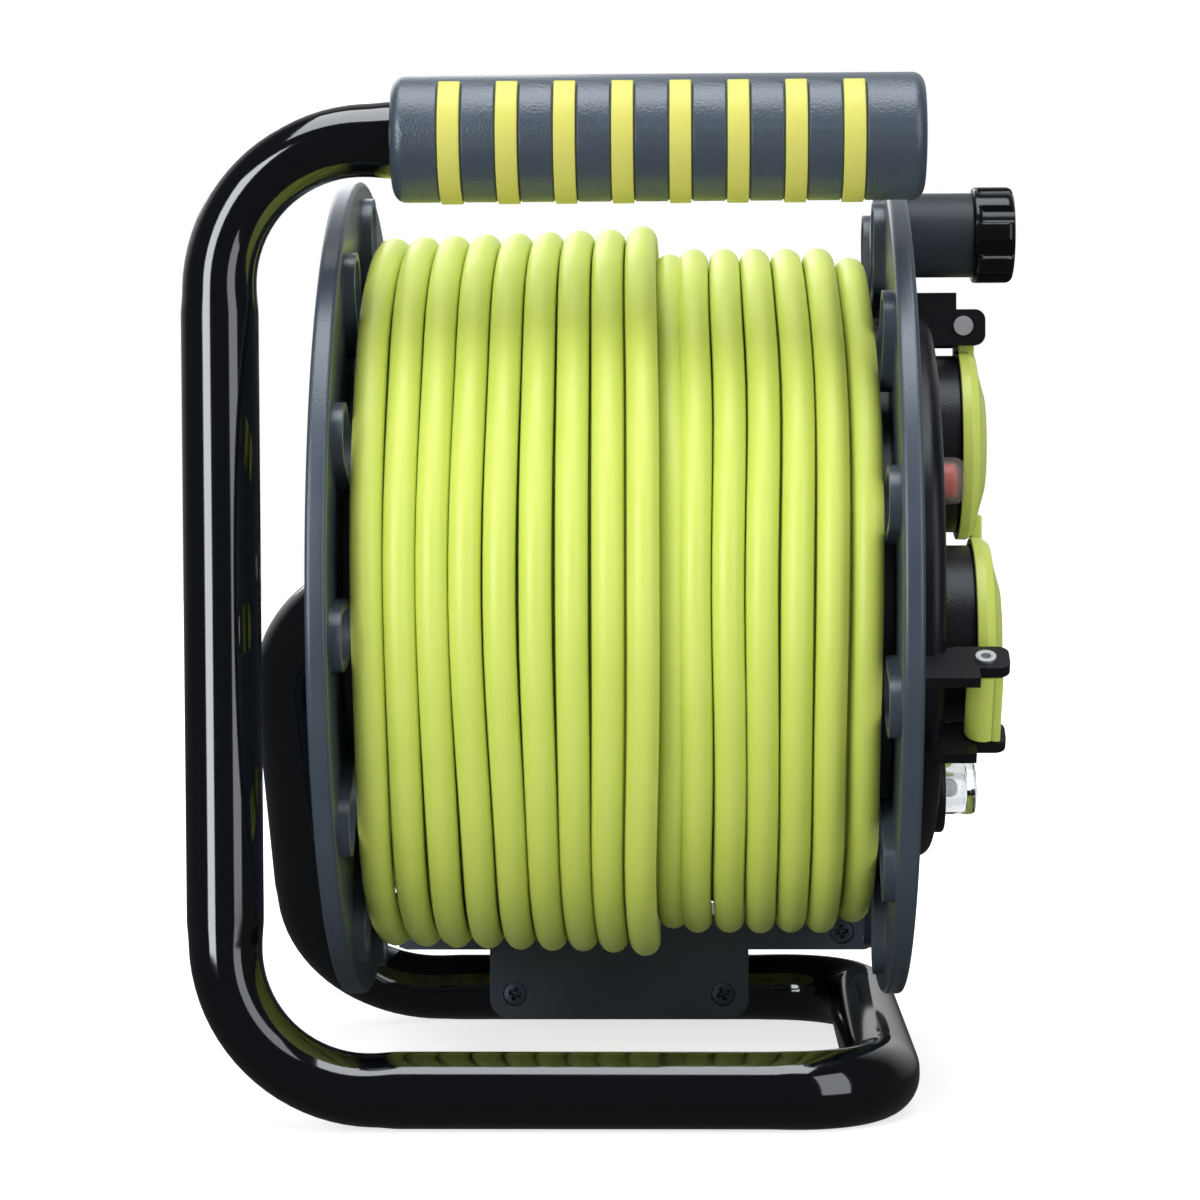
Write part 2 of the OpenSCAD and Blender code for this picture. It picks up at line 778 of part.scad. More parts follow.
module end_washer() {
    color([0.7, 0.7, 0.72]) at_axle()
        translate([axle_end_x, 0, 0]) along_axle()
            ring(washer_d / 2, bolt_r + 0.1, washer_t);
}

module axle_insert() {
    color([0.6, 0.6, 0.62]) at_axle()
        translate([axle_end_x - insert_len, 0, 0]) along_axle()
            difference() {
                cylinder(r = tube_r - tube_wall - seat_fit, h = insert_len);
                translate([0, 0, 2]) cylinder(r = bolt_r + seat_fit, h = insert_len);
            }
}

module axle_collar() {
    color([0.6, 0.6, 0.62]) at_axle()
        translate([hub_right_x - boss_len / 2 - end_play - collar_ring_len, 0, 0]) along_axle()
            ring(collar_ring_d / 2, tube_r + seat_fit, collar_ring_len);
}

module end_bolt() {
    color([0.7, 0.7, 0.72]) at_axle()
        translate([axle_end_x, 0, 0]) along_axle() {
            translate([0, 0, 3 - insert_len]) cylinder(r = bolt_r, h = insert_len - 2 + washer_t);
            translate([0, 0, washer_t]) cylinder(r = bolt_head_r, h = bolt_head_h);
        }
}

// ---- drum ----

// A rounded slot along local X, at a radius range
module slot(r0, r1, w, h) {
    translate([r0 + w / 2, 0, 0]) cylinder(r = w / 2, h = h);
    translate([r1 - w / 2, 0, 0]) cylinder(r = w / 2, h = h);
    translate([r0 + w / 2, -w / 2, 0]) cube([r1 - r0 - w, w, h]);
}

module slots(first, grow, h)
    for (i = [0 : slot_count - 1])
        rotate([0, 0, i * 360 / slot_count - first])
            slot(slot_r0 - grow, slot_r1 + grow, slot_w + 2 * grow, h);

// Places round the axle, the first at an angle from the front upward
module round_axle(count, first, r)
    for (i = [0 : count - 1])
        rotate([0, 0, i * 360 / count - first])
            translate([r, 0, 0])
                children();

// A flange lying on its inner face, its slots' collars below
module flange(eye_r, first_slot) {
    edge = rim_t / 2;
    difference() {
        union() {
            rotate_extrude($fn = 2 * FINE) {
                translate([eye_r, 0]) square([flange_r - edge - eye_r, web_t]);
                translate([flange_r - rim_t, edge]) square([rim_t, rim_w - rim_t]);
                translate([flange_r - edge, edge]) circle(r = edge);
                translate([flange_r - edge, rim_w - edge]) circle(r = edge);
            }
            translate([0, 0, -collar_h])
                slots(first_slot, collar_wall, collar_h + web_t / 2);
        }
        translate([0, 0, -collar_h - 1]) slots(first_slot, 0, collar_h + web_t + 2);
        round_axle(drum_screw_count, drum_screw_angle, drum_screw_r)
            translate([0, 0, -1]) cylinder(r = screw_hole_r, h = web_t + 2);
        children();
    }
}

module flange_left() {
    color([0.13, 0.16, 0.2]) at_axle() mirror([1, 0, 0])
        facing(0) translate([0, 0, web_x]) flange(left_eye_d / 2, slot_angle_left);
}

module flange_right() {
    color([0.13, 0.16, 0.2]) at_axle()
        facing(0) translate([0, 0, web_x])
            flange(right_eye_d / 2, slot_angle_right) {
                round_axle(panel_screw_count, panel_screw_angle, drum_screw_r)
                    translate([0, 0, -1]) cylinder(r = panel_screw_r + screw_fit, h = web_t + 2);
                rotate([0, 0, -crank_angle]) translate([crank_r, 0, -1])
                    cylinder(r = post_screw_d / 2 + screw_fit, h = web_t + 2);
            }
}

module drum_core() {
    boss_r = screw_boss_d / 2;
    boss_back = 0.5;
    boss_h = drum_screw_len + 1.5;
    color([0.13, 0.16, 0.2]) at_axle() facing(0)
        difference() {
            union() {
                translate([0, 0, -web_x]) ring(core_r, core_in_r, drum_gap);
                for (foot = [boss_back - web_x, web_x - boss_back - boss_h])
                    round_axle(drum_screw_count, drum_screw_angle, drum_screw_r)
                        translate([0, 0, foot]) cylinder(r = boss_r, h = boss_h);
            }
            for (foot = [-web_x - 1, web_x + 1 - drum_screw_len])
                round_axle(drum_screw_count, drum_screw_angle, drum_screw_r)
                    translate([0, 0, foot]) cylinder(r = screw_hole_r, h = drum_screw_len);
            at_gland() translate([0, 0, -4 * core_wall])
                cylinder(r = gland_d / 2 + seat_fit, h = 8 * core_wall);
        }
}

module drum_screws() {
    color([0.5, 0.5, 0.52]) at_axle()
        for (side = [0, 1])
            mirror([side, 0, 0]) facing(0)
                round_axle(drum_screw_count, drum_screw_angle, drum_screw_r) {
                    translate([0, 0, panel_base_x]) cylinder(r = screw_head_r, h = screw_head_h);
                    translate([0, 0, panel_base_x - drum_screw_len])
                        cylinder(r = screw_r, h = drum_screw_len);
                }
}

// A bearing web with its boss and ribs, its boss centred on the origin
module hub() {
    boss_r = boss_d / 2;
    disc_r = core_in_r - seat_fit;
    difference() {
        union() {
            translate([0, 0, -hub_web_t / 2]) cylinder(r = disc_r, h = hub_web_t, $fn = FINE);
            translate([0, 0, -boss_len / 2]) cylinder(r = boss_r, h = boss_len);
            for (i = [0 : hub_rib_count - 1])
                rotate([0, 0, i * 360 / hub_rib_count])
                    translate([boss_r - 1, -hub_rib_t / 2, -hub_rib_h])
                        cube([disc_r - boss_r - 7, hub_rib_t, hub_rib_h]);
        }
        translate([0, 0, -boss_len])
            cylinder(r = bush_r + seat_fit, h = 2 * boss_len, $fn = FINE);
    }
}

module bush() translate([0, 0, -boss_len / 2]) ring(bush_r, tube_r + run_fit, boss_len);

module hub_left()
    color([0.13, 0.16, 0.2]) at_axle() translate([hub_left_x, 0, 0]) along_axle() hub();

module hub_right()
    color([0.13, 0.16, 0.2]) at_axle() translate([hub_right_x, 0, 0]) along_axle() hub();

module bush_left()
    color("ivory") at_axle() translate([hub_left_x, 0, 0]) along_axle() bush();

module bush_right()
    color("ivory") at_axle() translate([hub_right_x, 0, 0]) along_axle() bush();

// ---- cord ----

// Where the cord goes through the core: local Z outward from the core's surface
module at_gland()
    rotate([0, 0, -gland_angle])
        translate([core_r, 0, gland_x])
            rotate([0, 90, 0])
                children();

module cord_gland() {
    neck_foot = 2 * core_wall;
    color("black") at_axle() facing(0) at_gland()
        difference() {
            union() {
                translate([0, 0, -neck_foot])
                    cylinder(r = gland_d / 2, h = neck_foot - tail_gap);
                translate([0, 0, -neck_foot - 0.2])
                    cylinder(r = gland_d / 2 + gland_lip, h = neck_foot - core_wall - 0.5);
            }
            translate([0, 0, -2 * neck_foot])
                cylinder(r = cord_d / 2 + seat_fit, h = 3 * neck_foot);
        }
}

module cord_tail() {
    color([0.62, 0.74, 0.16]) at_axle() facing(0) at_gland()
        translate([0, 0, tail_r - core_r]) cylinder(r = cord_d / 2, h = core_r - tail_r - tail_gap);
}

module cord_clamp() {
    color("black") at_axle() facing(gland_angle)
        difference() {
            translate([tail_r - 0.08, -clamp_w / 2, gland_x - clamp_h / 2])
                cube([clamp_len, clamp_w, clamp_h]);
            translate([tail_r - 1, 0, gland_x]) rotate([0, 90, 0])
                cylinder(r = cord_d / 2 + seat_fit, h = clamp_len + 2);
        }
}

// The cord's leads end in a block that hangs from the panel
module terminal_block() {
    block_end = tail_r - 0.1;
    color("white") at_axle() facing(gland_angle) {
        translate([block_end - block_w, -block_l / 2, gland_x - block_h / 2])
            cube([block_w, block_l, block_h]);
        translate([block_end - block_w / 2, 0, gland_x])
            cylinder(r = block_l / 4, h = panel_x - panel_wall - gland_x);
    }
}

// Insulated leads from under the block to each contact sleeve, with a ferrule at both ends
module wires() {
    color("brown") at_axle()
        for (k = [0 : socket_count - 1], n = [0, 1]) {
            start = facing_point(gland_angle, [tail_r - 0.1 - block_w / 2, 0] + wire_starts[k][n]);
            foot = contact_place(k, 2 * n - 1);
            rod(start + [wire_x, 0, 0], foot + [wire_x, 0, 0], wire_d / 2);
            translate([wire_x, 0, 0]) translate(start) ferrule(gland_x - block_h / 2 - wire_x);
            translate([wire_x, 0, 0]) translate(foot) ferrule(sleeve_foot_x - wire_x);
        }
}

module ferrule(top) {
    r = wire_d / 2 + 0.4;
    translate([-r, 0, 0]) along_axle() cylinder(r = r, h = top + r);
}

// A point of the plane across the axle, its local X toward an angle from the front upward
function facing_point(angle, p) = on_circle(norm(p), angle - atan2(p.y, p.x));

// A contact's place round the axle
function contact_place(k, side) =
    facing_point(hinge_angle - 120 * k, [socket_x, socket_y + side * contact_pitch / 2]);

// The layers below, lower under the turns on the right
module cord_core() {
    low_r = (turn_r_low - wound_r) * ring_sag - core_clear;
    high_r = (turn_r_left - wound_r) * ring_sag - core_clear;
    end_x = web_x - collar_h - core_clear;
    step_x = winding_x - 6.5 * turn_pitch;
    foot_r = core_r + seat_fit;
    color([0.55, 0.66, 0.14]) at_axle() along_axle()
        rotate_extrude($fn = 2 * FINE) {
            translate([foot_r, -end_x]) square([high_r - foot_r, end_x + step_x]);
            translate([foot_r, step_x]) square([low_r - foot_r, end_x - step_x]);
        }
}

// Each turn of the outer layer lies square to the axle and steps aside behind the drum,
// where it first rises or sinks to the next turn's radius
function ease(w) = let (c = min(1, max(0, w))) c * c * (3 - 2 * c);
function step_share(t) = ((t - floor(t)) * 360 - step_start) / step_arc;
function turn_side(t) = t < 1 ? 0 : floor(t) - 1 + ease((step_share(t) - 0.2) / 0.8);
function radius_of(n) =
    n < 6 ? turn_r_right : n < 7 ? turn_r_low : n < 8 ? turn_r_high : turn_r_left;
function turn_radius(t) =
    let (n = floor(t) - 1, f = t < 1 ? 0 : ease(2 * step_share(t)))
    radius_of(n) * (1 - f) + radius_of(n + 1) * f;
function wind_point(t) =
    on_circle(turn_radius(t), wind_end_angle + 360 * t)
        + [winding_x - turn_pitch * turn_side(t), 0, 0];
function unit(v) = v / norm(v);
function wind_way(t) = unit(wind_point(t + 0.001) - wind_point(t - 0.001));

turn_rings = round((turns - wind_start) * rings_per_turn);
wound_points = [for (i = [0 : turn_rings]) wind_point(wind_start + i / rings_per_turn)];
wind_end = wound_points[turn_rings] + wind_way(turns) * cord_d;
wind_line = concat([wound_points[0] - wind_way(wind_start) * cord_d], wound_points, [wind_end]);

// Least free space between one turn and the next, over every ring
turn_space = min([for (i = [0 : turn_rings - 20], j = [i + 20 : min(i + 28, turn_rings)])
    norm(wound_points[i] - wound_points[j])]) - 2 * wound_r;
echo(least_gap_of_winding = turn_space);

// A tube along points that keeps one side turned away from the axle
module swept(line, r, sides) {
    last = len(line) - 1;
    points = [for (i = [0 : last])
        let (way = unit(line[min(i + 1, last)] - line[max(i - 1, 0)]),
             side = unit(cross(way, [0, line[i].y, line[i].z])),
             up = cross(side, way))
        for (s = [0 : sides - 1])
            line[i] + r * (cos(360 * s / sides) * up + sin(360 * s / sides) * side)];
    walls = [for (i = [0 : last - 1], s = [0 : sides - 1])
        let (a = i * sides + s, b = i * sides + (s + 1) % sides)
        each [[a, a + sides, b + sides], [a, b + sides, b]]];
    caps = [for (s = [1 : sides - 2])
        each [[0, s, s + 1], [last * sides, last * sides + s + 1, last * sides + s]]];
    polyhedron(points, concat(walls, caps), convexity = 10);
}

module cord_winding() {
    color([0.62, 0.74, 0.16]) at_axle() swept(wind_line, wound_r, 6);
}

module cord_lead() {
    color([0.62, 0.74, 0.16]) at_axle()
        swept(concat([wind_end, wind_end + wind_way(turns) * cord_d], lead_points,
                     [lead_end + [0, 0, cord_d], lead_end]), cord_d / 2, 10);
}

// ---- plug ----

module at_plug() translate([plug_x, plug_y, -plug_drop]) children();

module plug_body() {
    r = plug_d / 2;
    top = plug_len + relief_len;
    color("black") at_axle() at_plug()
        difference() {
            rotate_extrude($fn = FINE)
                polygon([[0, 0], [r, 0], [r, plug_face_h], [r - 2, plug_face_h + 2],
                         [plug_waist_d / 2, plug_len], [relief_d / 2, plug_len],
                         [cord_d / 2 + 1, top], [0, top]]);
            for (side = [-1, 1])
                translate([side * contact_pitch / 2, 0, -1])
                    cylinder(r = plug_pin_d / 2 + seat_fit, h = pin_seat + 1);
            earth_places() translate([r - 1.6, -earth_w / 2, -1]) cube([3, earth_w, earth_len + 1]);
        }
}

module earth_places()
    for (turn = [90, 270])
        rotate([0, 0, turn])
            children();

module plug_pins() {
    r = plug_pin_d / 2;
    color([0.75, 0.75, 0.72]) at_axle() at_plug()
        for (side = [-1, 1])
            translate([side * contact_pitch / 2, 0, -plug_pin_len]) {
                translate([0, 0, r]) cylinder(r = r, h = plug_pin_len + pin_seat - r);
                cylinder(r1 = r / 2, r2 = r, h = r);
            }
}

module plug_earth_strips() {
    color([0.75, 0.75, 0.72]) at_axle() at_plug() earth_places()
        translate([plug_d / 2 - 1.6 + seat_fit, seat_fit - earth_w / 2, 0])
            cube([1.2, earth_w - 2 * seat_fit, earth_len - seat_fit]);
}

// ---- socket panel ----

module at_button()
    facing(button_angle) translate([button_r, 0, panel_x]) children();

module at_lamp()
    facing(lamp_angle) translate([lamp_r, 0, panel_x]) children();

module at_hinge(k)
    at_socket(k) translate([hinge_out, hinge_side, hinge_rise]) children();

module at_sockets()
    for (k = [0 : socket_count - 1])
        at_socket(k) children();

// A round bar along a hinge, from y0 over a length
module hinge_bar(r, y0, len)
    translate([0, y0 + len, 0]) upright() cylinder(r = r, h = len);

// Two arms that stand on the flange's web beside the panel, each with an ear
module hinge_block() {
    back = -5;
    front = 9.2;
    foot = -hinge_rise - panel_h;
    shoulder = -1.9;
    ear_shift = -0.45;
    for (side = [-1, 1])
        translate([0, side > 0 ? ear_y : -ear_end_y, 0]) {
            translate([back, 0, foot]) cube([front - back, ear_t, shoulder - foot]);
            translate([ear_shift, ear_t / 2, 0]) upright()
                translate([0, 0, -ear_t / 2]) ear_plate();
        }
}

module ear_plate() {
    w = 10.1;
    low = -8;
    high = 6.2;
    corner = 3;
    translate([-w / 2, low, 0]) cube([w, high - low - corner, ear_t]);
    translate([corner - w / 2, high - corner, 0]) cube([w - 2 * corner, corner, ear_t]);
    for (side = [-1, 1])
        translate([side * (w / 2 - corner), high - corner, 0]) cylinder(r = corner, h = ear_t);
}

module socket_panel() {
    post_h = panel_h - panel_wall;
    color([0.03, 0.032, 0.035]) at_axle()
        difference() {
            union() {
                facing(0) translate([0, 0, panel_base_x]) {
                    difference() {
                        round_top(panel_r, panel_h, panel_round);
                        translate([0, 0, -1])
                            cylinder(r = panel_r - panel_wall, h = post_h + 1, $fn = FINE);
                    }
                    round_axle(panel_screw_count, panel_screw_angle, drum_screw_r)
                        cylinder(r = screw_boss_d / 2 - 0.2, h = post_h + 1);
                }
                for (k = [0 : socket_count - 1]) at_hinge(k) hinge_block();
            }
            facing(0) translate([0, 0, panel_base_x])
                round_axle(panel_screw_count, panel_screw_angle, drum_screw_r)
                    translate([0, 0, -1]) cylinder(r = panel_screw_r + screw_fit, h = post_h);
            for (k = [0 : socket_count - 1])
                at_hinge(k) hinge_bar(pin_r + seat_fit, -ear_end_y - 1, 2 * ear_end_y + 2);
            at_sockets() translate([0, 0, -panel_h - 1])
                cylinder(r = cup_r + 0.1, h = panel_h + 2, $fn = FINE);
            at_button() translate([0, 0, -panel_h])
                cylinder(r = cutout_neck_r + seat_fit, h = panel_h + 1);
            at_lamp() translate([0, 0, -panel_h]) cylinder(r = lamp_stem_r + seat_fit, h = panel_h + 1);
        }
}

module panel_screws() {
    head_h = 1.8;
    color([0.5, 0.5, 0.52]) at_axle() facing(0)
        round_axle(panel_screw_count, panel_screw_angle, drum_screw_r) {
            translate([0, 0, web_x - head_h]) cylinder(r = panel_screw_head_d / 2, h = head_h);
            translate([0, 0, web_x - head_h])
                cylinder(r = panel_screw_r, h = head_h + web_t + panel_h - panel_wall - 1.5);
        }
}

module socket() {
    clip_x = recess_r - 0.3 - clip_t;
    difference() {
        union() {
            cylinder(r = cup_r + collar_lip, h = socket_rise, $fn = FINE);
            translate([0, 0, cup_foot_z]) cylinder(r = cup_r, h = -cup_foot_z + 1, $fn = FINE);
        }
        translate([0, 0, recess_z]) cylinder(r = recess_r, h = recess_depth + 1, $fn = FINE);
        for (side = [-1, 1]) {
            translate([0, side * contact_pitch / 2, cup_foot_z - 1])
                cylinder(r = contact_hole_d / 2, h = socket_floor + 2);
            translate([side * (clip_x + clip_t / 2) - clip_t / 2 - 0.1, -clip_w / 2 - 0.1,
                       cup_foot_z - 1])
                cube([clip_t + 0.2, clip_w + 0.2, socket_floor + 2]);
        }
    }
}

module socket_1() color([0.03, 0.032, 0.035]) at_axle() at_socket(0) socket();
module socket_2() color([0.03, 0.032, 0.035]) at_axle() at_socket(1) socket();
module socket_3() color([0.03, 0.032, 0.035]) at_axle() at_socket(2) socket();

module contact_sleeves() {
    color([0.75, 0.66, 0.35]) at_axle() at_sockets()
        for (side = [-1, 1])
            translate([0, side * contact_pitch / 2, cup_foot_z - sleeve_len])
                difference() {
                    cylinder(r = sleeve_d / 2, h = sleeve_len);
                    translate([0, 0, 2]) cylinder(r = plug_pin_d / 2 + run_fit, h = sleeve_len);
                }
}

module earth_clips() {
    clip_foot = cup_foot_z - 6;
    color([0.75, 0.66, 0.35]) at_axle() at_sockets()
        for (side = [-1, 1])
            translate([side * (recess_r - 0.3 - clip_t / 2) - clip_t / 2, -clip_w / 2, clip_foot])
                cube([clip_t, clip_w, clip_rise - clip_foot]);
}

module hinge_pins() {
    color([0.72, 0.73, 0.75]) at_axle()
        for (k = [0 : socket_count - 1])
            at_hinge(k)
                difference() {
                    union() {
                        hinge_bar(pin_r, -ear_end_y, 2 * ear_end_y);
                        hinge_bar(pin_head_d / 2, ear_end_y, pin_head_t);
                        hinge_bar(pin_head_d / 2, -ear_end_y - pin_head_t, pin_head_t);
                    }
                    hinge_bar(pin_r * 0.65, -ear_end_y - pin_head_t - 1, 4);
                }
}

module lid_springs() {
    color([0.6, 0.6, 0.62]) at_axle()
        for (k = [0 : socket_count - 1])
            at_hinge(k)
                difference() {
                    hinge_bar(spring_d / 2, -spring_len / 2, spring_len);
                    hinge_bar(pin_r + seat_fit, -spring_len, 2 * spring_len);
                }
}

// ---- lids ----

// A lid in its socket's frame
module lid() {
    crown_r = lid_crown_d / 2;
    shoulder_z = lid_h - lid_shoulder;
    rim_slope_w = 1.5;
    rim_slope_h = 2;
    crown_drop = 0.7;
    crown_in = crown_r * 2 / 3;
    arm_t = 4.5;
    arm_root = 4;
    finger_under = 1.5;
    finger_root = 12;
    difference() {
        union() {
            translate([0, 0, lid_z])
                rotate_extrude($fn = FINE)
                    polygon([[0, 0], [lid_r, 0], [lid_r, lid_rim_h],
                             [lid_r - rim_slope_w, lid_rim_h + rim_slope_h],
                             [crown_r, shoulder_z], [crown_in, lid_h - crown_drop], [0, lid_h]]);
            translate([lid_r - arm_root, hinge_side - barrel_len / 2, lid_z])
                cube([hinge_out - lid_r + arm_root, barrel_len, arm_t]);
            translate([-tab_out, -finger_w / 2, lid_z + shoulder_z - finger_under])
                cube([finger_root, finger_w, finger_t]);
            translate([hinge_out, hinge_side, hinge_rise])
                hinge_bar(barrel_d / 2, -barrel_len / 2, barrel_len);
        }
        translate([0, 0, lid_z])
            rotate_extrude($fn = FINE)
                polygon([[0, -1], [lid_r - lid_wall, -1], [lid_r - lid_wall, lid_rim_h - 0.4],
                         [lid_r - 1.2 - lid_wall, lid_rim_h + 1.2],
                         [crown_r - 1.3, shoulder_z - lid_wall],
                         [crown_in - 0.5, lid_h - crown_drop - lid_wall], [0, lid_h - lid_wall]]);
        translate([hinge_out, hinge_side, hinge_rise]) {
            hinge_bar(pin_r + run_fit, -barrel_len, 2 * barrel_len);
            hinge_bar(spring_d / 2 + 0.3, -spring_len / 2 - 0.2, spring_len + 0.4);
        }
    }
    translate([0, 0, lid_z + seal_h - 0.1]) ring(seal_r + 1, seal_r - 1, lid_rim_h - 0.1);
}

// The seal lies under the lid's inner rib
module lid_gasket_shape()
    translate([0, 0, lid_z - 0.1]) ring(seal_r + seal_w / 2, seal_r - seal_w / 2, seal_h);

module lid_1() color([0.62, 0.74, 0.16]) at_axle() at_socket(0) lid();
module lid_2() color([0.62, 0.74, 0.16]) at_axle() at_socket(1) lid();
module lid_3() color([0.62, 0.74, 0.16]) at_axle() at_socket(2) lid();

module lid_gasket_1() color("dimgray") at_axle() at_socket(0) lid_gasket_shape();
module lid_gasket_2() color("dimgray") at_axle() at_socket(1) lid_gasket_shape();
module lid_gasket_3() color("dimgray") at_axle() at_socket(2) lid_gasket_shape();

// ---- cut-out and lamp ----

module cutout_body() {
    color("dimgray") at_axle() at_button()
        difference() {
            union() {
                translate([0, 0, -panel_wall - cutout_body_h])
                    cylinder(r = cutout_body_d / 2, h = cutout_body_h);
                translate([0, 0, -panel_wall - 1]) cylinder(r = cutout_neck_r, h = panel_wall + 1);
            }
            translate([0, 0, -button_in - button_travel - 0.5])
                cylinder(r = button_d / 2 + run_fit, h = button_in + button_travel + 2);
        }
}

module cutout_cap() {
    color([0.75, 0.7, 0.68, 0.6]) at_axle() at_button()
        difference() {
            round_top(cap_d / 2, cap_h, cap_d / 4);
            translate([0, 0, -1]) round_top(cap_d / 2 - cap_wall, cap_h - cap_wall + 1, cap_d / 4);
        }
}

module reset_button() {
    color([0.75, 0.2, 0.18]) at_axle() at_button()
        translate([0, 0, -button_in]) round_top(button_d / 2, button_in + button_rise, 1.5);
}

module lamp_base() {
    color("black") at_axle() at_lamp()
        difference() {
            union() {
                round_top(lamp_base_d / 2, lamp_base_h, 1.2);
                translate([0, 0, -lamp_stem_len]) cylinder(r = lamp_stem_r, h = lamp_stem_len + 1);
            }
            translate([0, 0, bulb_foot]) cylinder(r = bulb_d / 2 + seat_fit, h = lamp_base_h - bulb_foot + 1);
        }
}

module lamp_bulb() {
    color("white") at_axle() at_lamp()
        translate([0, 0, bulb_foot]) round_top(bulb_d / 2, bulb_len, bulb_d / 2 - 0.1);
}

module lamp_lens() {
    color([0.9, 0.9, 0.9, 0.5]) at_axle() at_lamp()
        translate([0, 0, lamp_base_h])
            difference() {
                round_top(lens_d / 2, lens_h, 1.5);
                translate([0, 0, -1]) cylinder(r = lens_d / 2 - lens_wall, h = lens_h - lens_wall + 1);
            }
}

// ---- crank ----

// Origin on the flange's web under the knob, local Z outward
module at_crank()
    facing(crank_angle) translate([crank_r, 0, panel_base_x]) children();

module crank_post() {
    color([0.1, 0.105, 0.11]) at_axle() at_crank()
        difference() {
            cylinder(r = post_d / 2, h = post_h);
            translate([0, 0, spindle_foot])
                cylinder(r = spindle_d / 2 + seat_fit, h = post_h);
            translate([0, 0, -1])
                cylinder(r = post_screw_d / 2 + screw_fit, h = spindle_foot);
        }
}

module crank_screw() {
    color([0.5, 0.5, 0.52]) at_axle() at_crank() {
        translate([0, 0, -web_t - 2]) cylinder(r = post_screw_head_d / 2, h = 2);
        translate([0, 0, -web_t - 1]) cylinder(r = post_screw_d / 2, h = web_t + spindle_foot - 1);
    }
}

module crank_spindle() {
    head_z = post_h + knob_gap + knob_len - knob_recess + knob_gap;
    color([0.6, 0.6, 0.62]) at_axle() at_crank()
        difference() {
            union() {
                translate([0, 0, spindle_foot])
                    cylinder(r = spindle_d / 2, h = head_z - spindle_foot);
                translate([0, 0, head_z]) cylinder(r = spindle_head_d / 2, h = spindle_head_t);
            }
            for (turn = [0, 90])
                rotate([0, 0, turn])
                    translate([-3, -0.6, head_z + spindle_head_t - 1]) cube([6, 1.2, 2]);
        }
}

module crank_knob() {
    color([0.03, 0.032, 0.035]) at_axle() at_crank()
        translate([0, 0, post_h + knob_gap])
            difference() {
                round_top(knob_d / 2, knob_len, 2);
                translate([0, 0, -1]) cylinder(r = spindle_d / 2 + run_fit, h = knob_len + 2);
                translate([0, 0, knob_len - knob_recess])
                    cylinder(r = spindle_head_d / 2 + 0.7, h = knob_recess + 1);
                for (i = [0 : knob_hollows - 1])
                    rotate([0, 0, (i + 0.5) * 360 / knob_hollows])
                        translate([knob_d / 2 + 1.6, 0, -1])
                            cylinder(r = 3, h = knob_len + 2, $fn = 32);
            }
}

frame_tube();
riser_tube();
tube_spigot();
grip();
grip_bands();
tube_end_plug();
clamp_plate();
plug_holder();
holder_screws();
axle_insert();
axle_collar();
end_washer();
end_bolt();
plug_body();
plug_pins();
plug_earth_strips();
cord_lead();
flange_left();
flange_right();
drum_core();
hub_left();
hub_right();
bush_left();
bush_right();
drum_screws();
cord_core();
cord_winding();
cord_gland();
cord_tail();
cord_clamp();
terminal_block();
wires();
socket_panel();
panel_screws();
socket_1();
socket_2();
socket_3();
contact_sleeves();
earth_clips();
hinge_pins();
lid_springs();
cutout_body();
cutout_cap();
reset_button();
lamp_base();
lamp_bulb();
lamp_lens();
crank_post();
crank_screw();
crank_spindle();
crank_knob();
lid_1();
lid_2();
lid_3();
lid_gasket_1();
lid_gasket_2();
lid_gasket_3();
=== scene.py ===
import json
import math

import bmesh
import bpy
from mathutils import Matrix, Vector, noise


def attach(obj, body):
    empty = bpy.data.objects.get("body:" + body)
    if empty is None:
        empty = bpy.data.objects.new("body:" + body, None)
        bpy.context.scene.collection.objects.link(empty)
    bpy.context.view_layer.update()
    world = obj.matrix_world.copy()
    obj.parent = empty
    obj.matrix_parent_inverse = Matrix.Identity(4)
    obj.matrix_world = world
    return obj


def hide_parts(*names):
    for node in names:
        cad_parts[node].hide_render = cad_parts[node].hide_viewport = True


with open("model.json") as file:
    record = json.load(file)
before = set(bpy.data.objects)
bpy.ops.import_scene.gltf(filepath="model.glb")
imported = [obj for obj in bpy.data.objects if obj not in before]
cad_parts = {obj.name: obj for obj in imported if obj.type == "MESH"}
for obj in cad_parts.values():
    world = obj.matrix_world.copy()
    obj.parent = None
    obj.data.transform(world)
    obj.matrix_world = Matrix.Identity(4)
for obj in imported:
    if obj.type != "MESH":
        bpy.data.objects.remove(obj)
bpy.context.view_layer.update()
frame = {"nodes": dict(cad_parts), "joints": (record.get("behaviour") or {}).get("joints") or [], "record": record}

# ---- places: sizes below are in millimetres from the axle, at the drum's middle ----
MM = 0.001
JOINTS = {j["name"]: j for j in frame["joints"]}
AXLE = Vector(JOINTS["drum_spin"]["pos_m"])


def at(x, y, z):
    return AXLE + Vector((x, y, z)) * MM


def round_axle(radius, angle, x=0.0):
    """A point round the axle; its angle counts from the front upward."""
    a = math.radians(angle)
    return Vector((x, -radius * math.cos(a), radius * math.sin(a)))


def facing(angle, radius=0.0, side=0.0, x=0.0):
    """Local Z along the axle, local X toward an angle; radius, side and x move it in its own axes."""
    out = round_axle(1, angle)
    axis = Vector((1, 0, 0))
    turn = Matrix((out, axis.cross(out), axis)).transposed().to_4x4()
    return Matrix.Translation(AXLE) @ turn @ Matrix.Translation(Vector((radius, side, x)) * MM)


# ---- camera: solved from the photo's outlines, its focal length in the photo's pixels ----
EYE = at(18.7, -940, 38)
YAW, PITCH, ROLL = math.radians(1.54), math.radians(-2.536), math.radians(-0.25)
FOCAL_PX, FRAME_PX, SENSOR = 3340, 1200, 36

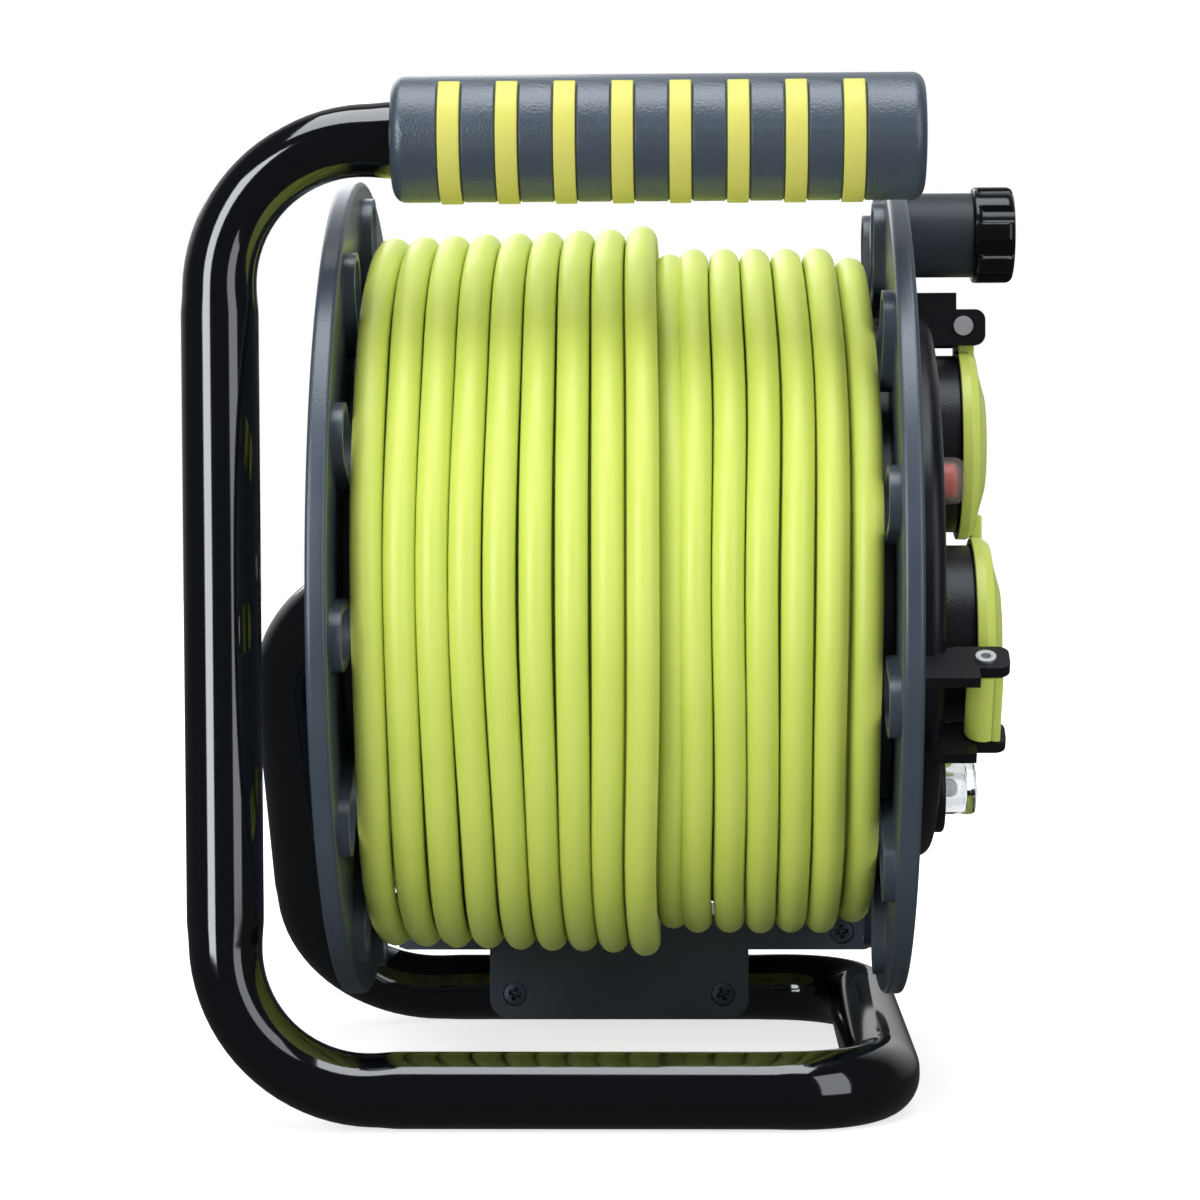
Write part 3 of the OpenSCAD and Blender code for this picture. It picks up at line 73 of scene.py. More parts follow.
camera = bpy.data.cameras.new("camera")
camera.sensor_width = SENSOR
camera.lens = SENSOR * FOCAL_PX / FRAME_PX
camera.clip_start = 0.05
camera_object = bpy.data.objects.new("camera", camera)
bpy.context.scene.collection.objects.link(camera_object)
camera_object.matrix_world = (
    Matrix.Translation(EYE)
    @ Matrix.Rotation(YAW, 4, "Z")
    @ Matrix.Rotation(math.pi / 2 + PITCH, 4, "X")
    @ Matrix.Rotation(ROLL, 4, "Z")
)
bpy.context.scene.camera = camera_object


# ---- mesh helpers ----
def piece(name, verts, faces, body, material, uvs=None, sharp=35):
    """A smooth-shaded mesh in row-frame metres that rides on a body."""
    mesh = bpy.data.meshes.new(name)
    mesh.from_pydata([tuple(v) for v in verts], [], faces)
    if uvs:
        layer = mesh.uv_layers.new(name="UVMap")
        for loop in mesh.loops:
            layer.data[loop.index].uv = uvs[loop.vertex_index]
    mesh.validate()
    bm = bmesh.new()
    bm.from_mesh(mesh)
    bmesh.ops.remove_doubles(bm, verts=bm.verts, dist=1e-7)
    bmesh.ops.recalc_face_normals(bm, faces=bm.faces)
    bm.to_mesh(mesh)
    bm.free()
    mesh.shade_smooth()
    mesh.set_sharp_from_angle(angle=math.radians(sharp))
    mesh.materials.append(material)
    obj = bpy.data.objects.new(name, mesh)
    bpy.context.scene.collection.objects.link(obj)
    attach(obj, body)
    return obj


def joined(parts):
    """Several (verts, faces) as one."""
    verts, faces = [], []
    for v, f in parts:
        base = len(verts)
        verts += v
        faces += [[i + base for i in face] for face in f]
    return verts, faces


def placed(part, matrix):
    """The same (verts, faces) moved by a matrix."""
    return [matrix @ v for v in part[0]], part[1]


def ring(radius, z, sides):
    """Points round Z in metres; the radius in mm is a number or a function of the angle."""
    angles = [math.tau * i / sides for i in range(sides)]
    radii = [radius(a) if callable(radius) else radius for a in angles]
    return [Vector((r * math.cos(a), r * math.sin(a), z)) * MM for r, a in zip(radii, angles)]


def ring_faces(rings, sides, closed=False):
    """Faces between rings of as many points each; closed joins the last ring to the first."""
    faces = []
    for k in range(rings if closed else rings - 1):
        a, b = k * sides, (k + 1) % rings * sides
        faces += [[a + i, a + (i + 1) % sides, b + (i + 1) % sides, b + i] for i in range(sides)]
    return faces


def lathe(profile, segments, arc=360.0, start=0.0):
    """A closed profile of (radius, height) in mm turned round Z, in metres."""
    full = arc >= 360
    rings = segments if full else segments + 1
    verts = []
    for i in range(rings):
        a = math.radians(start + arc * i / segments)
        verts += [Vector((r * math.cos(a), r * math.sin(a), z)) * MM for r, z in profile]
    n = len(profile)
    faces = []
    for i in range(segments):
        a, b = i * n, (i + 1) % rings * n
        faces += [[a + j, b + j, b + (j + 1) % n, a + (j + 1) % n] for j in range(n)]
    if not full:
        faces += [list(range(n)), list(range((rings - 1) * n, rings * n))[::-1]]
    return verts, faces


def rounded(points, radius, steps=4):
    """A closed outline with its corners rounded; a point may carry its own radius third."""
    out = []
    n = len(points)
    for i, p in enumerate(points):
        r = p[2] if len(p) > 2 else radius
        here = Vector(p[:2])
        back, ahead = Vector(points[i - 1][:2]) - here, Vector(points[(i + 1) % n][:2]) - here
        half = back.angle(ahead) / 2
        cut = r / math.tan(half) if r > 0 else 0
        if cut < 1e-6:
            out.append((here.x, here.y))
            continue
        # a corner takes just under half of each side at most
        cut = min(cut, back.length * 0.49, ahead.length * 0.49)
        a, b = here + back.normalized() * cut, here + ahead.normalized() * cut
        for s in range(steps + 1):
            t = s / steps
            q = a.lerp(here, t).lerp(here.lerp(b, t), t)
            out.append((q.x, q.y))
    return out


def prism(outline, low, high, edge=0.3):
    """An outline (x, y) in mm raised from low to high, with a small chamfer at both ends."""
    centre = sum((Vector(p) for p in outline), Vector((0, 0))) / len(outline)
    rows = [(low, edge), (low + edge, 0), (high - edge, 0), (high, edge)]
    verts = []
    for z, inset in rows:
        for p in outline:
            v = Vector(p) - centre
            q = centre + v * max(0.0, 1 - inset / max(v.length, 1e-6))
            verts.append(Vector((q.x, q.y, z)) * MM)
    n = len(outline)
    faces = ring_faces(len(rows), n)
    faces += [list(range(n))[::-1], list(range(len(verts) - n, len(verts)))]
    return verts, faces


def rectangle(x0, x1, y0, y1, corner, steps=4):
    """A rounded outline from x0 to x1 and y0 to y1."""
    return rounded([(x0, y0), (x1, y0), (x1, y1), (x0, y1)], corner, steps)


def tube(points, radius, sides, first=None, squeeze=None):
    """A round tube along points in metres: verts, faces, and uvs of metres along and round."""
    last = len(points) - 1
    ways = [(points[min(i + 1, last)] - points[max(i - 1, 0)]).normalized() for i in range(last + 1)]
    up = (first or ways[0].orthogonal()).normalized()
    verts, uvs, run = [], [], 0.0
    for i, p in enumerate(points):
        up = (up - ways[i] * up.dot(ways[i])).normalized()
        side = ways[i].cross(up)
        run += (p - points[i - 1]).length if i else 0
        for s in range(sides):
            a = math.tau * s / sides
            o = up * math.cos(a) + side * math.sin(a)
            if squeeze:
                o = squeeze(i, o, ways[i])
            verts.append(p + o * radius)
            uvs.append((run, radius * math.tau * s / sides))
    faces = ring_faces(len(points), sides)
    faces += [list(range(sides))[::-1], list(range(last * sides, (last + 1) * sides))]
    return verts, faces, uvs


def smooth_path(points, steps=8):
    """A curve through all the points."""
    out = []
    ends = [points[0] * 2 - points[1]] + list(points) + [points[-1] * 2 - points[-2]]
    for i in range(1, len(ends) - 2):
        p0, p1, p2, p3 = ends[i - 1 : i + 3]
        for s in range(steps):
            t = s / steps
            out.append(
                0.5
                * (
                    2 * p1
                    + (p2 - p0) * t
                    + (2 * p0 - 5 * p1 + 4 * p2 - p3) * t * t
                    + (3 * p1 - p0 - 3 * p2 + p3) * t * t * t
                )
            )
    return out + [points[-1]]


# ---- materials ----
def shader(name, color, roughness, **inputs):
    """A material with its Principled shader; names its inputs with underscores for spaces."""
    material = bpy.data.materials.new(name)
    material.use_nodes = True
    principled = material.node_tree.nodes["Principled BSDF"]
    principled.inputs["Base Color"].default_value = (*color[:3], 1)
    principled.inputs["Roughness"].default_value = roughness
    for key, value in inputs.items():
        principled.inputs[key.replace("_", " ")].default_value = value
    return material


def node(owner, kind, links=(), **values):
    """A node of a material or world; values set its sockets by name, or else its settings."""
    tree = owner.node_tree
    new = tree.nodes.new(kind)
    for key, value in values.items():
        socket = next((s for s in new.inputs if s.name == key.replace("_", " ")), None)
        if socket is not None and not hasattr(new, key):
            socket.default_value = value
        else:
            setattr(new, key, value)
    for source, target in links:
        tree.links.new(source, new.inputs[target])
    return new


GRAIN_DETAIL, CLOUD_SCALE, CLOUD_DETAIL = 3.0, 38.0, 4.0
NOISE_LOW, NOISE_HIGH = 0.3, 0.7


def grained(material, scale, depth, rough, tint=None, edge=0.0004):
    """Fine grain by bump, softened edges, and roughness and colour that vary a little.

    The grain's scale is per metre, its depth and the edges' softness are in metres.
    """
    tree = material.node_tree
    principled = tree.nodes["Principled BSDF"]
    place = node(material, "ShaderNodeTexCoord")
    grain = node(
        material, "ShaderNodeTexNoise", [(place.outputs["Object"], "Vector")],
        Scale=scale, Detail=GRAIN_DETAIL,
    )
    soft = node(material, "ShaderNodeBevel", samples=4, Radius=edge)
    bump = node(
        material, "ShaderNodeBump",
        [(grain.outputs["Fac"], "Height"), (soft.outputs["Normal"], "Normal")],
        Strength=1.0, Distance=depth,
    )
    tree.links.new(bump.outputs["Normal"], principled.inputs["Normal"])
    cloud = node(
        material, "ShaderNodeTexNoise", [(place.outputs["Object"], "Vector")],
        Scale=CLOUD_SCALE, Detail=CLOUD_DETAIL,
    )
    spread = node(
        material, "ShaderNodeMapRange", [(cloud.outputs["Fac"], "Value")],
        From_Min=NOISE_LOW, From_Max=NOISE_HIGH, To_Min=rough[0], To_Max=rough[1],
    )
    tree.links.new(spread.outputs["Result"], principled.inputs["Roughness"])
    if tint:
        mix = node(material, "ShaderNodeMix", data_type="RGBA")
        mix.inputs["A"].default_value = (*tint[0], 1)
        mix.inputs["B"].default_value = (*tint[1], 1)
        tree.links.new(cloud.outputs["Fac"], mix.inputs["Factor"])
        tree.links.new(mix.outputs["Result"], principled.inputs["Base Color"])
    return material


SLATE = (0.042, 0.058, 0.080)
LIME = (0.56, 0.66, 0.09)
COOL_GLOSS = (0.86, 0.93, 1.0, 1)

materials = {
    "black_enamel": grained(
        shader(
            "black_enamel", (0.0016, 0.0018, 0.003), 0.08, Specular_IOR_Level=0.9,
            Specular_Tint=(0.90, 0.95, 1.0, 1), Coat_Weight=0.5, Coat_Roughness=0.05,
        ),
        260, 0.000006, rough=(0.06, 0.1),
    ),
    "slate_plastic": grained(
        shader("slate_plastic", SLATE, 0.34, Specular_IOR_Level=0.9, Specular_Tint=(0.88, 0.94, 1.0, 1)),
        1500, 0.00005, rough=(0.3, 0.4), tint=((0.036, 0.051, 0.071), (0.050, 0.067, 0.090)),
    ),
    "lime_plastic": grained(
        shader(
            "lime_plastic", LIME, 0.36, Specular_IOR_Level=0.6,
            Subsurface_Weight=0.08, Subsurface_Scale=0.003,
        ),
        1300, 0.00002, rough=(0.3, 0.42), tint=((0.58, 0.69, 0.11), (0.65, 0.76, 0.15)),
    ),
    "cord_sheath": grained(
        shader("cord_sheath", LIME, 0.46, Specular_IOR_Level=0.75, Sheen_Weight=0.05),
        900, 0.00005, edge=0.0001, rough=(0.4, 0.52), tint=((0.56, 0.67, 0.09), (0.63, 0.73, 0.13)),
    ),
    "black_plastic": grained(
        shader(
            "black_plastic", (0.006, 0.0065, 0.0085), 0.34,
            Specular_IOR_Level=0.42, Specular_Tint=COOL_GLOSS,
        ),
        1700, 0.00007, rough=(0.26, 0.42), tint=((0.005, 0.0055, 0.0075), (0.010, 0.011, 0.014)),
    ),
    "dark_grey_plastic": grained(
        shader("dark_grey_plastic", (0.028, 0.036, 0.048), 0.42, Specular_IOR_Level=0.3),
        1700, 0.00006, rough=(0.36, 0.48), tint=((0.024, 0.031, 0.042), (0.033, 0.042, 0.056)),
    ),
    "plug_rubber": grained(
        shader("plug_rubber", (0.012, 0.012, 0.013), 0.55), 1200, 0.00005, rough=(0.5, 0.62),
        tint=((0.010, 0.010, 0.011), (0.018, 0.018, 0.019)),
    ),
    "zinc_steel": grained(
        shader("zinc_steel", (0.74, 0.76, 0.79), 0.45, Metallic=0.85), 900, 0.00002, edge=0.0002,
        rough=(0.4, 0.54), tint=((0.68, 0.70, 0.73), (0.80, 0.82, 0.85)),
    ),
    "contact_brass": grained(
        shader("contact_brass", (0.66, 0.50, 0.24), 0.3, Metallic=1.0), 900, 0.00002, edge=0.0002,
        rough=(0.24, 0.4), tint=((0.6, 0.46, 0.22), (0.7, 0.55, 0.28)),
    ),
    "nylon": grained(
        shader("nylon", (0.7, 0.69, 0.64), 0.4, Subsurface_Weight=0.1, Subsurface_Scale=0.002), 1200,
        0.00003, rough=(0.34, 0.46), tint=((0.66, 0.65, 0.6), (0.74, 0.73, 0.69)),
    ),
    "wire_sheath": grained(
        shader("wire_sheath", (0.10, 0.035, 0.015), 0.4), 1200, 0.00003, rough=(0.36, 0.5),
        tint=((0.09, 0.03, 0.012), (0.12, 0.045, 0.02)),
    ),
    "seal_rubber": grained(
        shader("seal_rubber", (0.02, 0.02, 0.021), 0.6), 1200, 0.00004, rough=(0.55, 0.68),
        tint=((0.018, 0.018, 0.019), (0.025, 0.025, 0.026)),
    ),
    "smoky_clear": grained(
        shader("smoky_clear", (0.44, 0.38, 0.35), 0.3, Alpha=0.2), 900, 0.00002,
        edge=0.0002, rough=(0.24, 0.36),
    ),
    "clear_lens": grained(
        shader("clear_lens", (0.74, 0.76, 0.78), 0.05, Transmission_Weight=1.0, IOR=1.49), 300, 0.00001,
        edge=0.0002, rough=(0.02, 0.05),
    ),
    "red_plastic": grained(
        shader("red_plastic", (0.80, 0.05, 0.035), 0.35), 900, 0.00002, rough=(0.3, 0.42),
        tint=((0.76, 0.045, 0.03), (0.84, 0.06, 0.042)),
    ),
    "frosted_bulb": grained(
        shader("frosted_bulb", (0.9, 0.9, 0.87), 0.35, Transmission_Weight=0.3), 900, 0.00002,
        rough=(0.3, 0.4),
    ),
}

# finishes that a few pieces have in place of their slot's own
BAND_PLASTIC = grained(
    shader(
        "lime_inlay", (0.58, 0.57, 0.12), 0.4, Specular_IOR_Level=0.35,
        Subsurface_Weight=0.05, Subsurface_Scale=0.002,
    ),
    1300, 0.00003, rough=(0.34, 0.46), tint=((0.55, 0.54, 0.105), (0.61, 0.60, 0.135)),
)
GRIP_SKIN = grained(
    shader("grip_skin", SLATE, 0.34, Specular_IOR_Level=1.0, Specular_Tint=COOL_GLOSS),
    1500, 0.00014, rough=(0.28, 0.38), tint=((0.037, 0.053, 0.075), (0.052, 0.071, 0.097)),
)
KNOB_PLASTIC = grained(
    shader("knob_gloss", (0.004, 0.0042, 0.005), 0.14, Specular_IOR_Level=0.5, Specular_Tint=COOL_GLOSS),
    1400, 0.00002, rough=(0.1, 0.18), tint=((0.0035, 0.0037, 0.0045), (0.006, 0.0063, 0.0075)),
)
DARK_ZINC = grained(
    shader("screw_zinc", (0.10, 0.13, 0.17), 0.36, Metallic=1.0), 900, 0.00002, edge=0.0002,
    rough=(0.3, 0.45), tint=((0.08, 0.105, 0.14), (0.13, 0.165, 0.21)),
)

for entry in frame["record"]["subparts"]:
    cad = frame["nodes"][entry["node"]]
    cad.data.materials.clear()
    cad.data.materials.append(materials[entry["material_slot"]])


# ---- cord: three layers on the drum, wound as one length ----
CORD_D = 8.4
GLAND_ANGLE, GLAND_R, GLAND_X = 161.5, 73, 60
RINGS_PER_TURN, NUDGE = 48, 0.001

# the outer layer from the right: each turn's radius and place, and its step aside behind the drum
TURNS, OUTER_FROM, OUTER_FIRST_X, OUTER_PITCH = 16, 1 / 3, 63.9, 8.76
RADIUS_FIRST, RADIUS_RIGHT, RADIUS_DIP, RADIUS_HIGH, RADIUS_LEFT = 87.8, 90.5, 89.2, 96.9, 96.0
DIP_TURN, SQUEEZED, LEFT_FALL, SLACK = 6, (6.5, 7.4), 0.28, 2.3
END_ANGLE, STEP_START, STEP_ARC, STEP_LATE, LIFT_SHARE = 150, 15, 95, 0.2, 0.5

# the two layers inside, and in turns where they climb, turn back and meet the outer layer
TURN_PITCH, LAYER_1, LAYER_2 = 8.467, 77.2, 84.2
FIRST_X = TURN_PITCH * (TURNS - 1) / 2
INNER_TURNS = 2 * TURNS - 1 + (END_ANGLE + 360 * OUTER_FROM - GLAND_ANGLE) / 360
CLIMB_LATE, CLIMB_TURNS, BACK_EARLY, JOIN_TURNS = 0.1, 0.6, 0.2, 0.4

# slow unevenness of the turns, each with its pace and the place where its noise is read
WAVE, WAVE_ROUND, WAVE_ALONG, WAVE_SEED = 1.3, 1.3, 0.22, 4.0
TREMBLE, TREMBLE_PACE, TREMBLE_SEED = 0.1, 0.05, 7.7
DRIFT, DRIFT_PACE, DRIFT_SEED = 0.25, 0.035, 3.1


def ease(w):
    """A smooth rise from 0 to 1."""
    w = min(1.0, max(0.0, w))
    return w * w * (3 - 2 * w)


def turn_radius_of(n):
    """The layer is low on the right, dips before it steps up and falls a little to the left."""
    if n < 1:
        return RADIUS_FIRST
    if n < DIP_TURN:
        return RADIUS_RIGHT
    if n < DIP_TURN + 2:
        return RADIUS_DIP if n == DIP_TURN else RADIUS_HIGH
    return RADIUS_LEFT - LEFT_FALL * (n - DIP_TURN - 2)


def turn_place(n):
    """The turn in the dip is pressed down between its neighbours, which stand closer there."""
    run = OUTER_PITCH * min(n, DIP_TURN - 1)
    run += SQUEEZED[0] * (n >= DIP_TURN) + SQUEEZED[1] * (n > DIP_TURN)
    return OUTER_FIRST_X - run - OUTER_PITCH * max(n - DIP_TURN - 1, 0)


def outer_point(t):
    """The outer layer after t turns; it steps aside behind the drum, once each turn."""
    share = ((t - math.floor(t)) * 360 - STEP_START) / STEP_ARC
    n = math.floor(t) - 1
    step = 0 if t < 1 else ease((share - STEP_LATE) / (1 - STEP_LATE))
    lift = 0 if t < 1 else ease(share / LIFT_SHARE)
    x = turn_place(max(n, 0)) * (1 - step) + turn_place(max(n + 1, 0)) * step
    radius = turn_radius_of(n) * (1 - lift) + turn_radius_of(n + 1) * lift
    angle = END_ANGLE + 360 * t
    return round_axle(radius + SLACK * (1 - math.sin(math.radians(angle))) / 2, angle, x)


def inner_point(t):
    """Two plain layers, out to the left and back, t turns from the gland."""
    turns_out = TURNS - 1
    back = t - TURNS + BACK_EARLY
    if back < 0:
        x = FIRST_X - TURN_PITCH * min(t, turns_out)
    else:
        x = -FIRST_X + TURN_PITCH * min(back, turns_out)
    join = ease((t - INNER_TURNS + JOIN_TURNS) / JOIN_TURNS)
    radius = LAYER_1 + (LAYER_2 - LAYER_1) * ease((t - turns_out - CLIMB_LATE) / CLIMB_TURNS)
    radius += (RADIUS_FIRST - LAYER_2) * join
    x += (OUTER_FIRST_X - FIRST_X) * join
    return round_axle(radius, GLAND_ANGLE + 360 * t, x)


def uneven(i, p):
    """A wound point moved a little along the drum and out from it."""
    out = Vector((0, p.y, p.z)).normalized()
    along = i / RINGS_PER_TURN * WAVE_ALONG
    wave = noise.noise(Vector((out.y * WAVE_ROUND, out.z * WAVE_ROUND, along + WAVE_SEED)))
    tremble = noise.noise(Vector((i * TREMBLE_PACE, 0.0, TREMBLE_SEED)))
    drift = noise.noise(Vector((i * DRIFT_PACE, DRIFT_SEED, 0.0)))
    return p + Vector((WAVE * wave + TREMBLE * tremble, 0, 0)) + out * (DRIFT * drift)


outer_turns = TURNS - OUTER_FROM
inner_count, outer_count = round(INNER_TURNS * RINGS_PER_TURN), round(outer_turns * RINGS_PER_TURN)
wound = [inner_point(INNER_TURNS * i / inner_count) for i in range(inner_count)]
wound += [outer_point(OUTER_FROM + outer_turns * i / outer_count) for i in range(outer_count + 1)]
wound = [uneven(i, p) for i, p in enumerate(wound)]
end_way = (outer_point(TURNS + NUDGE) - outer_point(TURNS - NUDGE)).normalized()
wound_end = outer_point(TURNS) + end_way * CORD_D
wound.append(wound_end)
wound_path = [at(*p) for p in wound]
verts, faces, uvs = tube(wound_path, CORD_D / 2 * MM, sides=18, first=Vector((1, 0, 0)))
winding = piece("cord_on_drum", verts, faces, "drum", materials["cord_sheath"], uvs)
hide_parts("cord_core", "cord_winding")

PLUG_FACE, PLUG_LEN, RELIEF_LEN = Vector((-50, 107, -91)), 35, 20
LEAD_POINTS = [(-63.5, 99, 18), (-62, 104, 5), (-58, 107, -7), (-53, 107, -18)]
lead_end = PLUG_FACE + Vector((0, 0, PLUG_LEN + RELIEF_LEN))
lead_route = [wound_end, wound_end + end_way * CORD_D] + [Vector(p) for p in LEAD_POINTS]
lead_route += [lead_end + Vector((0, 0, CORD_D)), lead_end]
lead_path = smooth_path([at(*p) for p in lead_route])
verts, faces, uvs = tube(lead_path, CORD_D / 2 * MM, sides=24)
lead = piece("cord_to_plug", verts, faces, "frame", materials["cord_sheath"], uvs)
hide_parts("cord_lead")

# ---- frame tube: one bent tube, a little flattened in its bends ----
TUBE_R = 10
POST_X, FRONT_Y, BACK_Y, RAIL_Z, HANDLE_Z = -102.1, -80, 88, -127.5, 118.4
RISER_X, CROSS_X, HANDLE_END, AXLE_END = -97, 70, 70, 30
BEND_R, CROSS_BEND_R, AXLE_BEND_R = 38, 25, 34
FLATTEN, WIDEN, FLAT_ENDS, FADE_RINGS, FADE_LEN = 0.097, 0.03, 0.45, 6, 7.2
corners = [
    (Vector((HANDLE_END, FRONT_Y, HANDLE_Z)), 0),
    (Vector((POST_X, FRONT_Y, HANDLE_Z)), BEND_R),
    (Vector((POST_X, FRONT_Y, RAIL_Z)), BEND_R),
    (Vector((CROSS_X, FRONT_Y, RAIL_Z)), CROSS_BEND_R),
    (Vector((CROSS_X, BACK_Y, RAIL_Z)), CROSS_BEND_R),
    (Vector((RISER_X, BACK_Y, RAIL_Z)), BEND_R),
    (Vector((RISER_X, 0, 0)), AXLE_BEND_R),
    (Vector((AXLE_END, 0, 0)), 0),
]


def bent_line(corners, steps=20):
    """Points along a bent tube, each with the direction its bend squeezes it and how much."""
    line = [(corners[0][0], Vector((0, 0, 1)), 0.0)]
    for (a, _), (b, r), (c, _) in zip(corners, corners[1:], corners[2:]):
        into, out = (b - a).normalized(), (c - b).normalized()
        start = b - into * r
        centre = start + out * r
        inward = (centre - start).normalized()
        for s in range(-FADE_RINGS, steps + FADE_RINGS + 1):
            t = min(1.0, max(0.0, s / steps))
            angle = t * math.pi / 2
            radial = (inward * math.cos(angle) - into * math.sin(angle)).normalized()
            run = (s if s < 0 else s - steps if s > steps else 0) * (FADE_LEN / FADE_RINGS)
            p = centre - radial * r + (into if s < 0 else out) * run
            fade = FLAT_ENDS * ease(1 - abs(run) / FADE_LEN) + (1 - FLAT_ENDS) * math.sin(math.pi * t)
            line.append((p, radial, fade))
    return line + [(corners[-1][0], Vector((0, 0, 1)), 0.0)]


bent = bent_line(corners)


def squeeze(i, o, way):
    """An offset o from the tube's line at point i, flattened and widened as its bend asks."""
    _, radial, fade = bent[i]
    across = way.cross(radial)
    return o - radial * (o.dot(radial) * FLATTEN * fade) + across * (o.dot(across) * WIDEN * fade)


tube_line = [at(*p) for p, _, _ in bent]
verts, faces, uvs = tube(tube_line, TUBE_R * MM, sides=48, first=Vector((0, 1, 0)), squeeze=squeeze)
frame_tube = piece("bent_tube", verts, faces, "frame", materials["black_enamel"], uvs)
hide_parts("frame_tube", "riser_tube")

# ---- grip ----
GRIP_R, GRIP_X0, GRIP_X1, GRIP_FIT = 16.2, -57, 79, 0.3
NOSE_R, NOSE_LEN, NOSE_RINGS, FLAT_FROM = 3.5, 3.2, 8, 4.0
SEAM_H, SEAM_W = 0.14, 0.6
BAND_W, BAND_PITCH, BAND_MID, BAND_COUNT, BAND_ARC = 5.5, 14.65, 9.4, 8, 290
BAND_PROUD, BAND_SUNK, BAND_ROUND = 0.5, 1.2, 0.35
# the groove along a band's edge: how far outside the band, and how deep
GROOVE, GROOVE_FADE = [(0.6, 0), (0.35, 0.32), (-0.1, 0.5)], 3
band_xs = [BAND_MID + (i - (BAND_COUNT - 1) / 2) * BAND_PITCH for i in range(BAND_COUNT)]
grip_frame = Matrix.Translation(at(0, FRONT_Y, HANDLE_Z)) @ Matrix.Rotation(math.pi / 2, 4, "Y")


def grip_radius(x, r, angle):
    """Grooves stop where the bands do, short of the top; a low seam runs along front and back."""
    if GRIP_X0 + FLAT_FROM < x < GRIP_X1 - FLAT_FROM and r < GRIP_R:
        from_top = math.degrees(math.acos(-math.cos(angle)))
        r += (GRIP_R - r) * ease((180 - BAND_ARC / 2 + GROOVE_FADE - from_top) / GROOVE_FADE)
    if r >= GRIP_R:
        r += SEAM_H * math.exp(-((math.cos(angle) * GRIP_R / SEAM_W) ** 2))
    return r


def grip_surface(sides=96):
    """The grip's skin as rings along its axis; local X is down, local Y away from the front."""
    turned = [k / NOSE_RINGS * math.pi / 2 for k in range(NOSE_RINGS + 1)]
    nose = [(NOSE_LEN * (1 - math.cos(a)), GRIP_R - NOSE_R + NOSE_R * math.sin(a)) for a in turned]
    rows = [(GRIP_X0, TUBE_R + GRIP_FIT)] + [(GRIP_X0 + x, r) for x, r in nose]
    rows.append((GRIP_X0 + FLAT_FROM, GRIP_R))
    for x in band_xs:
        rows += [(x - BAND_W / 2 - outside, GRIP_R - deep) for outside, deep in GROOVE]
        rows += [(x + BAND_W / 2 + outside, GRIP_R - deep) for outside, deep in GROOVE[::-1]]
    rows.append((GRIP_X1 - FLAT_FROM, GRIP_R))
    rows += [(GRIP_X1 - x, r) for x, r in nose[::-1]]
    verts = []
    for x, r in rows:
        verts += ring(lambda angle: grip_radius(x, r, angle), x, sides)
    end = list(range(len(verts) - sides, len(verts)))
    return verts, ring_faces(len(rows), sides) + [end]


verts, faces = placed(grip_surface(), grip_frame)
grip = piece("grip_sleeve", verts, faces, "frame", GRIP_SKIN)
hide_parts("grip")

band_low, band_high = GRIP_R - BAND_SUNK, GRIP_R + BAND_PROUD
band_profile = rectangle(band_low, band_high, -BAND_W / 2, BAND_W / 2, BAND_ROUND, 3)
band_parts = []
for x in band_xs:
    band = lathe([(r, z + x) for r, z in band_profile], segments=80, arc=BAND_ARC, start=-BAND_ARC / 2)
    band_parts.append(placed(band, grip_frame))
verts, faces = joined(band_parts)
bands = piece("grip_inlays", verts, faces, "frame", BAND_PLASTIC)
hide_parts("grip_bands")

# ---- lids ----
SOCKET_X, SOCKET_Y, PANEL_X = 39.8, -8.6, 85.35
LID_Z, LID_R, LID_H, LID_MOUTH_R, DOME_T = 8.7, 27.0, 8.3, 25.2, 1.8
HINGE_OUT, HINGE_SIDE, HINGE_RISE = 33, -1.9, 9.9
BARREL_R, BARREL_BORE_R, BARREL_LEN = 4.7, 2.05, 20
ARM_SUNK, ARM_CLEAR, ARM_T = 2.5, 1, 4.5
LEAF_SHORT, LEAF_LOW, LEAF_HIGH = 0.3, 3.4, 5.6
TAB_OUT, TAB_IN, TAB_W, TAB_T, TAB_BELOW_TOP = 30.5, 20, 7, 3, 1.2
RIB_R0, RIB_R1, RIB_LOW, RIB_HIGH = 22, 24, 1.8, 4.4

# the cover's section from the axis over its top, round its edge and back inside
dome = [
    (0, LID_H, 0), (14, LID_H - 0.7, 2), (21, LID_H - 2.7, 1.6), (25.5, 4.8, 1.2), (LID_R, 2.8, 0.8),
    (LID_R, 0, 0.3), (LID_MOUTH_R, 0, 0.3), (LID_MOUTH_R, 2.4, 0.5), (24, 3.9, 0.3), (19.7, 3.9, 0.3),
    (13.5, 5.8, 0.5), (0, LID_H - DOME_T, 0),
]


